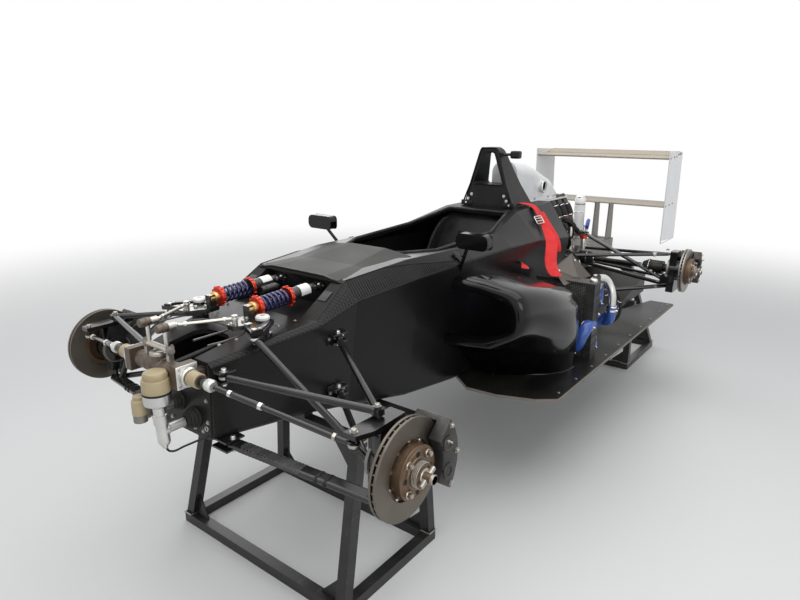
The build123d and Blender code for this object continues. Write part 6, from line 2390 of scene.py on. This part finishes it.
    def pipes(self):
        """Corrugated breather, blue hoses, oil lines and the strut beside the engine"""
        route = [
            at(*p)
            for p in (
                (-2130, 108, 1010), (-2176, 126, 1040), (-2260, 162, 1060), (-2340, 192, 1040),
                (-2417, 198, 990), (-2500, 190, 956), (-2590, 160, 940), (-2624, 130, 930),
            )
        ]
        base = hose(route, 12, sides=3)
        curve_points = []
        for first, second in zip(route[:-1], route[1:]):
            count = max(2, int((second - first).length / (9 * MM)))
            for k in range(count):
                curve_points.append((first.lerp(second, (k + 0.5) / count), second - first))
        loops = [ring(place, direction, 12.6, 2.2, 18, 6) for place, direction in curve_points]
        finished(join([base] + loops), "breather_hose", "rubber")
        blue = tubing(
            (
                (-2613, 200, 980), (-2660, 190, 1006), (-2730, 160, 990), (-2800, 130, 950),
                (-2887, 100, 925),
            ),
            11,
        )
        finished(blue, "gearbox_hose", "blue_silicone")
        unions = [
            drum(at(-2606, 201, 974), at(-2628, 198, 990), 13, 6, 1),
            drum(at(-2874, 105, 930), at(-2892, 98, 922), 13, 6, 1),
        ]
        finished(join(unions), "hose_unions", "blue_anodised")
        strut = drum(at(-2350, 204, 868), at(-2376, 190, 1002), 12, 22, 2)
        strut_end = rod_end(at(-2348, 206, 858), at(-2376, 190, 1002), (1, 0, 0), 9, 30)
        finished(join([strut, strut_end]), "engine_strut", "damper_steel")
        lines = [
            tubing(
                [
                    (-2060, y, z), (-2160, y + 96, z - 20), (-2330, y + 104, z - 30),
                    (-2470, y + 70, z - 10), (-2560, y + 24, z + 6),
                ],
                8,
            )
            for y, z in ((118, 705), (126, 590))
        ]
        finished(join(lines), "oil_lines", "rubber")
        self.looms()
        nuts = [
            drum(at(-2066, y, z), at(-2094, y + 26, z - 4), 11, 6, 0.8) for y, z in ((124, 704), (132, 588))
        ]
        finished(join(nuts), "oil_unions", "red_anodised")

    def looms(self):
        """Lines and looms between the tub's back, the engine's side and the gearbox"""
        soft = (
            (
                [
                    (-2040, 236, 1010), (-2110, 268, 1002), (-2190, 262, 960), (-2250, 232, 900),
                    (-2290, 150, 860),
                ],
                9,
            ),
            (
                [
                    (-2040, 262, 930), (-2120, 306, 900), (-2210, 318, 830), (-2320, 290, 770),
                    (-2440, 220, 760), (-2560, 140, 760),
                ],
                7,
            ),
            (
                [
                    (-2150, 150, 1040), (-2170, 214, 1050), (-2200, 232, 1000), (-2215, 216, 940),
                    (-2230, 150, 900),
                ],
                8,
            ),
            (
                [
                    (-2280, 150, 1034), (-2300, 208, 1040), (-2330, 226, 985), (-2335, 205, 930),
                    (-2340, 150, 905),
                ],
                6,
            ),
        )
        finished(join([tubing(points, radius) for points, radius in soft]), "engine_looms", "rubber")
        braid = tubing(
            ((-2040, 250, 860), (-2130, 322, 820), (-2240, 330, 760), (-2330, 280, 700), (-2400, 150, 690)),
            6,
        )
        finished(braid, "braided_line", "hub_steel")
        joints = [
            drum(at(-2200, 317, 838), at(-2222, 317, 822), 11, 6, 1),
            drum(at(-2100, 300, 834), at(-2120, 315, 825), 10, 6, 1),
            drum(at(-2192, 226, 1018), at(-2204, 231, 996), 11, 6, 1),
        ]
        finished(join(joints), "line_joints", "bright_alloy")


@listed
class CAR_OT_airbox_fittings(bpy.types.Operator):
    """Inlet rim, seam and fasteners of the air box"""

    bl_idname = "car.airbox_fittings"
    bl_label = "Air box fittings"

    def execute(self, context):
        rim = lathe(
            [(27, -4), (33, -4), (35, -1), (35, 5), (32, 8), (27, 8)], aim(at(-2084, 128, 1255), (0, 1, 0)),
            40, capped=False,
        )
        finished(rim, "airbox_inlet_rim", "bright_alloy")
        # Painted shade: a black cup closing the inlet stands for the shade inside it
        inlet_shade = lathe([(26.4, -10), (26.4, 2), (20, -20)], aim(at(-2084, 126, 1255), (0, 1, 0)), 36)
        finished(inlet_shade, "airbox_throat", "rubber")
        seam = [at(-2336, 101, 1178), at(-2220, 119, 1178), at(-2000, 109, 1178), at(-1900, 90, 1186)]
        pair(hose(seam, 4, sides=3), "airbox_seam", "pale_composite")
        heads = [
            (at(x, y, z), (0, 1, 0))
            for x, y, z in ((-2280, 110, 1190), (-2180, 118, 1192), (-2020, 111, 1192), (-1940, 98, 1194))
        ]
        pair(bolts(heads, 5, 3), "airbox_screws", "hub_steel")
        return {"FINISHED"}


@listed
class CAR_OT_gearbox_fittings(bpy.types.Operator):
    """Bolts, can, rear dampers, boots and rod ends round the gearbox"""

    bl_idname = "car.gearbox_fittings"
    bl_label = "Gearbox fittings"

    def execute(self, context):
        heads = [(at(-2484, side * 170, z), (0, side, 0)) for z in range(560, 930, 60) for side in (-1, 1)]
        for k in range(8):
            angle = k * math.pi / 4
            for side in (-1, 1):
                heads.append(
                    (
                        at(
                            REAR_AXLE[0] + 56 * math.cos(angle), side * 150,
                            REAR_AXLE[1] + 56 * math.sin(angle),
                        ),
                        (0, side, 0),
                    )
                )
        for x in (-2700, -2760, -2820, -2900):
            for z in (690, 800):
                heads.append(
                    (at(x, 0.0, 0.0) + Vector((0, (106 + (x + 2760) * 0.08) * MM, z * MM)), (0, 1, 0))
                )
        finished(bolts(heads, 6, 5), "gearbox_bolts", "bright_alloy")
        can = lathe(
            [
                (31, -4), (34, 0), (34, 210), (31, 214), (31, 218), (34.5, 220), (34.5, 250), (31, 255),
                (12, 256),
            ],
            moved(-2727, 100, 884), 36,
        )
        finished(can, "catch_can", "label")
        lid = lathe([(22, 0), (30, 2), (30, 12), (26, 16), (8, 17)], moved(-2727, 100, 1136), 32)
        straps = [ring(at(-2727, 100, z), (0, 0, 1), 35.2, 2.2, 36, 8) for z in (930, 1050)]
        finished(join([lid] + straps), "catch_can_lid", "chrome")
        for side, name in ((1, "left"), (-1, "right")):
            start, end = at(-2645, side * 68.6, 957), at(-2815, side * 62.6, 940)
            spring = coil(start, end, 31, 4.2, 9)
            finished(spring, "rear_spring_" + name, "spring_blue")
            perches = [
                lathe([(26, 0), (36, 1), (36, 9), (26, 10)], aim(place, end - start), 32)
                for place in (start, end)
            ]
            finished(join(perches), "rear_perches_" + name, "red_anodised")
        collar = lathe([(16, 0), (22, 2), (22, 22), (16, 24)], aim(at(-2570, 200, 905), (0, 0, 1)), 28)
        finished(collar, "rocker_collar", "red_anodised")
        post = drum(at(-2570, 200, 842), at(-2570, 200, 916), 15, 24, 2)
        finished(post, "rocker_post", "bright_alloy")
        rockers = plate(
            rounded(
                [(-44, 150), (44, 150), (52, 214), (20, 226), (-30, 120), (-60, 60), (-20, 52)],
                [10, 10, 12, 8, 10, 8, 8], 4,
            ),
            9,
            moved(-2609, 0, 941),
            2,
        )
        pair(rockers, "rear_rockers", "black_steel")
        pins = bolts(
            [
                (at(-2609, 198, 950), (0, 0, 1)), (at(-2640, 76, 950), (0, 0, 1)),
                (at(-2580, 168, 950), (0, 0, 1)),
            ],
            9, 8,
        )
        pair(pins, "rear_rocker_bolts", "bright_alloy")
        self.boots()
        self.arms()
        return {"FINISHED"}

    def boots(self):
        """Pleated boots of the driveshafts"""
        inner = [(42.5, 0)]
        for k in range(4):
            inner += [(45 - k * 5, 5 + k * 10), (37 - k * 5, 10 + k * 10)]
        inner += [(19, 46)]
        boot = lathe(inner, aim(on_axle(REAR_AXLE, 202), (0, 1, 0)), 32)
        outer = lathe(inner, aim(on_axle(REAR_AXLE, 590), (0, -1, 0)), 32)
        bodies = ("rear_hub_left", "rear_hub_right")
        pair(join([boot, outer]), "drive_boots", "rubber", bodies)
        rings = [
            ring(on_axle(REAR_AXLE, y), (0, 1, 0), r, 1.8, 32, 8)
            for y, r in ((204, 43.4), (246, 21), (588, 43.4), (546, 21))
        ]
        pair(join(rings), "boot_rings", "chrome", bodies)

    def arms(self):
        """Rod ends and lock nuts at the outer ends of the rear links"""
        links = (
            ((-2656, 690, 857), (-2350, 170, 830)),
            ((-2656, 690, 857), (-2882, 150, 794)),
            ((-2697, 705, 662), (-2350, 200, 600)),
            ((-2697, 705, 662), (-3036, 150, 644)),
            ((-2763, 700, 690), (-3000, 120, 680)),
            ((-2588, 680, 724), (-2609, 200, 930)),
        )
        ends, collars = [], []
        for outer, inner in links:
            ends.append(rod_end(at(*outer), at(*inner), (0, 0, 1), 9.5, 50))
            collars.append(
                drum(along(at(*outer), at(*inner), 0.12), along(at(*outer), at(*inner), 0.15), 13, 6, 1)
            )
        pair(join(ends), "rear_rod_ends", "bright_alloy")
        pair(join(collars), "rear_lock_nuts", "hub_steel")


# Rear wing and stands


@listed
class CAR_OT_wing_fittings(bpy.types.Operator):
    """Bolts, slots, edges and flap trim of the rear wing, and the ribs and lamp of the tail"""

    bl_idname = "car.wing_fittings"
    bl_label = "Rear wing fittings"

    def execute(self, context):
        heads = [
            (at(x, 479, z), (0, 1, 0))
            for x, z in (
                (-3292, 1381), (-3380, 1386), (-3440, 1388), (-3480, 1400), (-3530, 1410), (-3310, 1060),
                (-3400, 1063), (-3480, 1067),
            )
        ]
        pair(bolts(heads, 5.5, 2.6), "endplate_bolts", "hub_steel")
        gurney = tubing([(-3552, -470, 1418), (-3552, 470, 1418)], 3.4, smooth=False, sides=2)
        finished(gurney, "flap_trim", "wing_alloy")
        slots = []
        for x in (-3550, -3506):
            outline = rounded_box(13, 3.5, 3.4, 4)
            slots.append(
                tubing(
                    [(x + a, 479.4, 1402 + b) for a, b in outline + outline[:1]], 0.9, smooth=False,
                    sides=1,
                )
            )
        pair(join(slots), "endplate_slot_rims", "satin_black")
        edge = tubing(
            [
                (x, 476, z)
                for x, z in (
                    (-3272, 1420), (-3300, 824), (-3306, 801), (-3636, 801), (-3592, 1414), (-3278, 1423)
                )
            ],
            3.6, smooth=False,
        )
        pair(edge, "endplate_edge", "wing_white")
        feet = []
        for x in (-3440, -3510):
            feet.append((at(x, 58, 742), (0, 1, 0)))
            feet.append((at(x, 58, 1040), (0, 1, 0)))
        pair(bolts(feet, 7, 5), "pillar_bolts", "bright_alloy")
        ribs = [slab((x, -72, 636), (x + 8, 72, 774), 2) for x in (-3000, -3120, -3240, -3360, -3480)]
        lamp = slab((-3552, -46, 664), (-3545, 46, 730), 6)
        finished(join(ribs), "tail_ribs", "cast_alloy")
        finished(lamp, "rain_light", "red_anodised")
        return {"FINISHED"}


@listed
class CAR_OT_stand_fittings(bpy.types.Operator):
    """Weld beads of the two stands"""

    bl_idname = "car.stand_fittings"
    bl_label = "Stand fittings"

    def execute(self, context):
        for end, corners in (
            ("front", ((-105, 415, 42), (-600, 415, 42), (-235, 380, 574), (-590, 380, 506))),
            ("rear", ((-2890, 450, 42), (-3460, 450, 42))),
        ):
            beads = [self.weld(x, side * half, z) for x, half, z in corners for side in (-1, 1)]
            finished(join(beads), f"{end}_stand_welds", "hub_steel")
        return {"FINISHED"}

    def weld(self, x, y, z):
        square = [(-21, -21), (21, -21), (21, 21), (-21, 21)]
        points = [at(x + a, y + b, z) for a, b in square]
        return hose(points + points[:1], 2.6, smooth=False, sides=2)


class CAR_PT_panel(bpy.types.Panel):
    """Sizes, colours and the list of steps"""

    bl_idname = "CAR_PT_panel"
    bl_label = "Open Wheel Racing Car"
    bl_space_type = "VIEW_3D"
    bl_region_type = "UI"
    bl_category = "Car"

    def draw(self, context):
        for title, group in (
            ("Colours", context.scene.car_colours),
            ("Sizes", context.scene.car_sizes),
            ("Stage", context.scene.car_stage),
        ):
            box = self.layout.box()
            box.label(text=title)
            for key in group.bl_rna.properties.keys():
                if key not in ("rna_type", "name"):
                    box.prop(group, key)
        steps = self.layout.column(align=True)
        for operator in OPERATORS:
            steps.operator(operator.bl_idname)


PROPERTY_GROUPS = (("car_colours", CarColours), ("car_sizes", CarSizes), ("car_stage", StageSettings))


def register():
    for attribute, group in PROPERTY_GROUPS:
        bpy.utils.register_class(group)
        setattr(bpy.types.Scene, attribute, bpy.props.PointerProperty(type=group))
    for operator in OPERATORS:
        bpy.utils.register_class(operator)
    bpy.utils.register_class(CAR_PT_panel)


def unregister():
    bpy.utils.unregister_class(CAR_PT_panel)
    for operator in reversed(OPERATORS):
        bpy.utils.unregister_class(operator)
    for attribute, group in reversed(PROPERTY_GROUPS):
        delattr(bpy.types.Scene, attribute)
        bpy.utils.unregister_class(group)


def main():
    register()
    for operator in OPERATORS:
        family, step = operator.bl_idname.split(".")
        getattr(getattr(bpy.ops, family), step)()


if __name__ == "__main__":
    main()
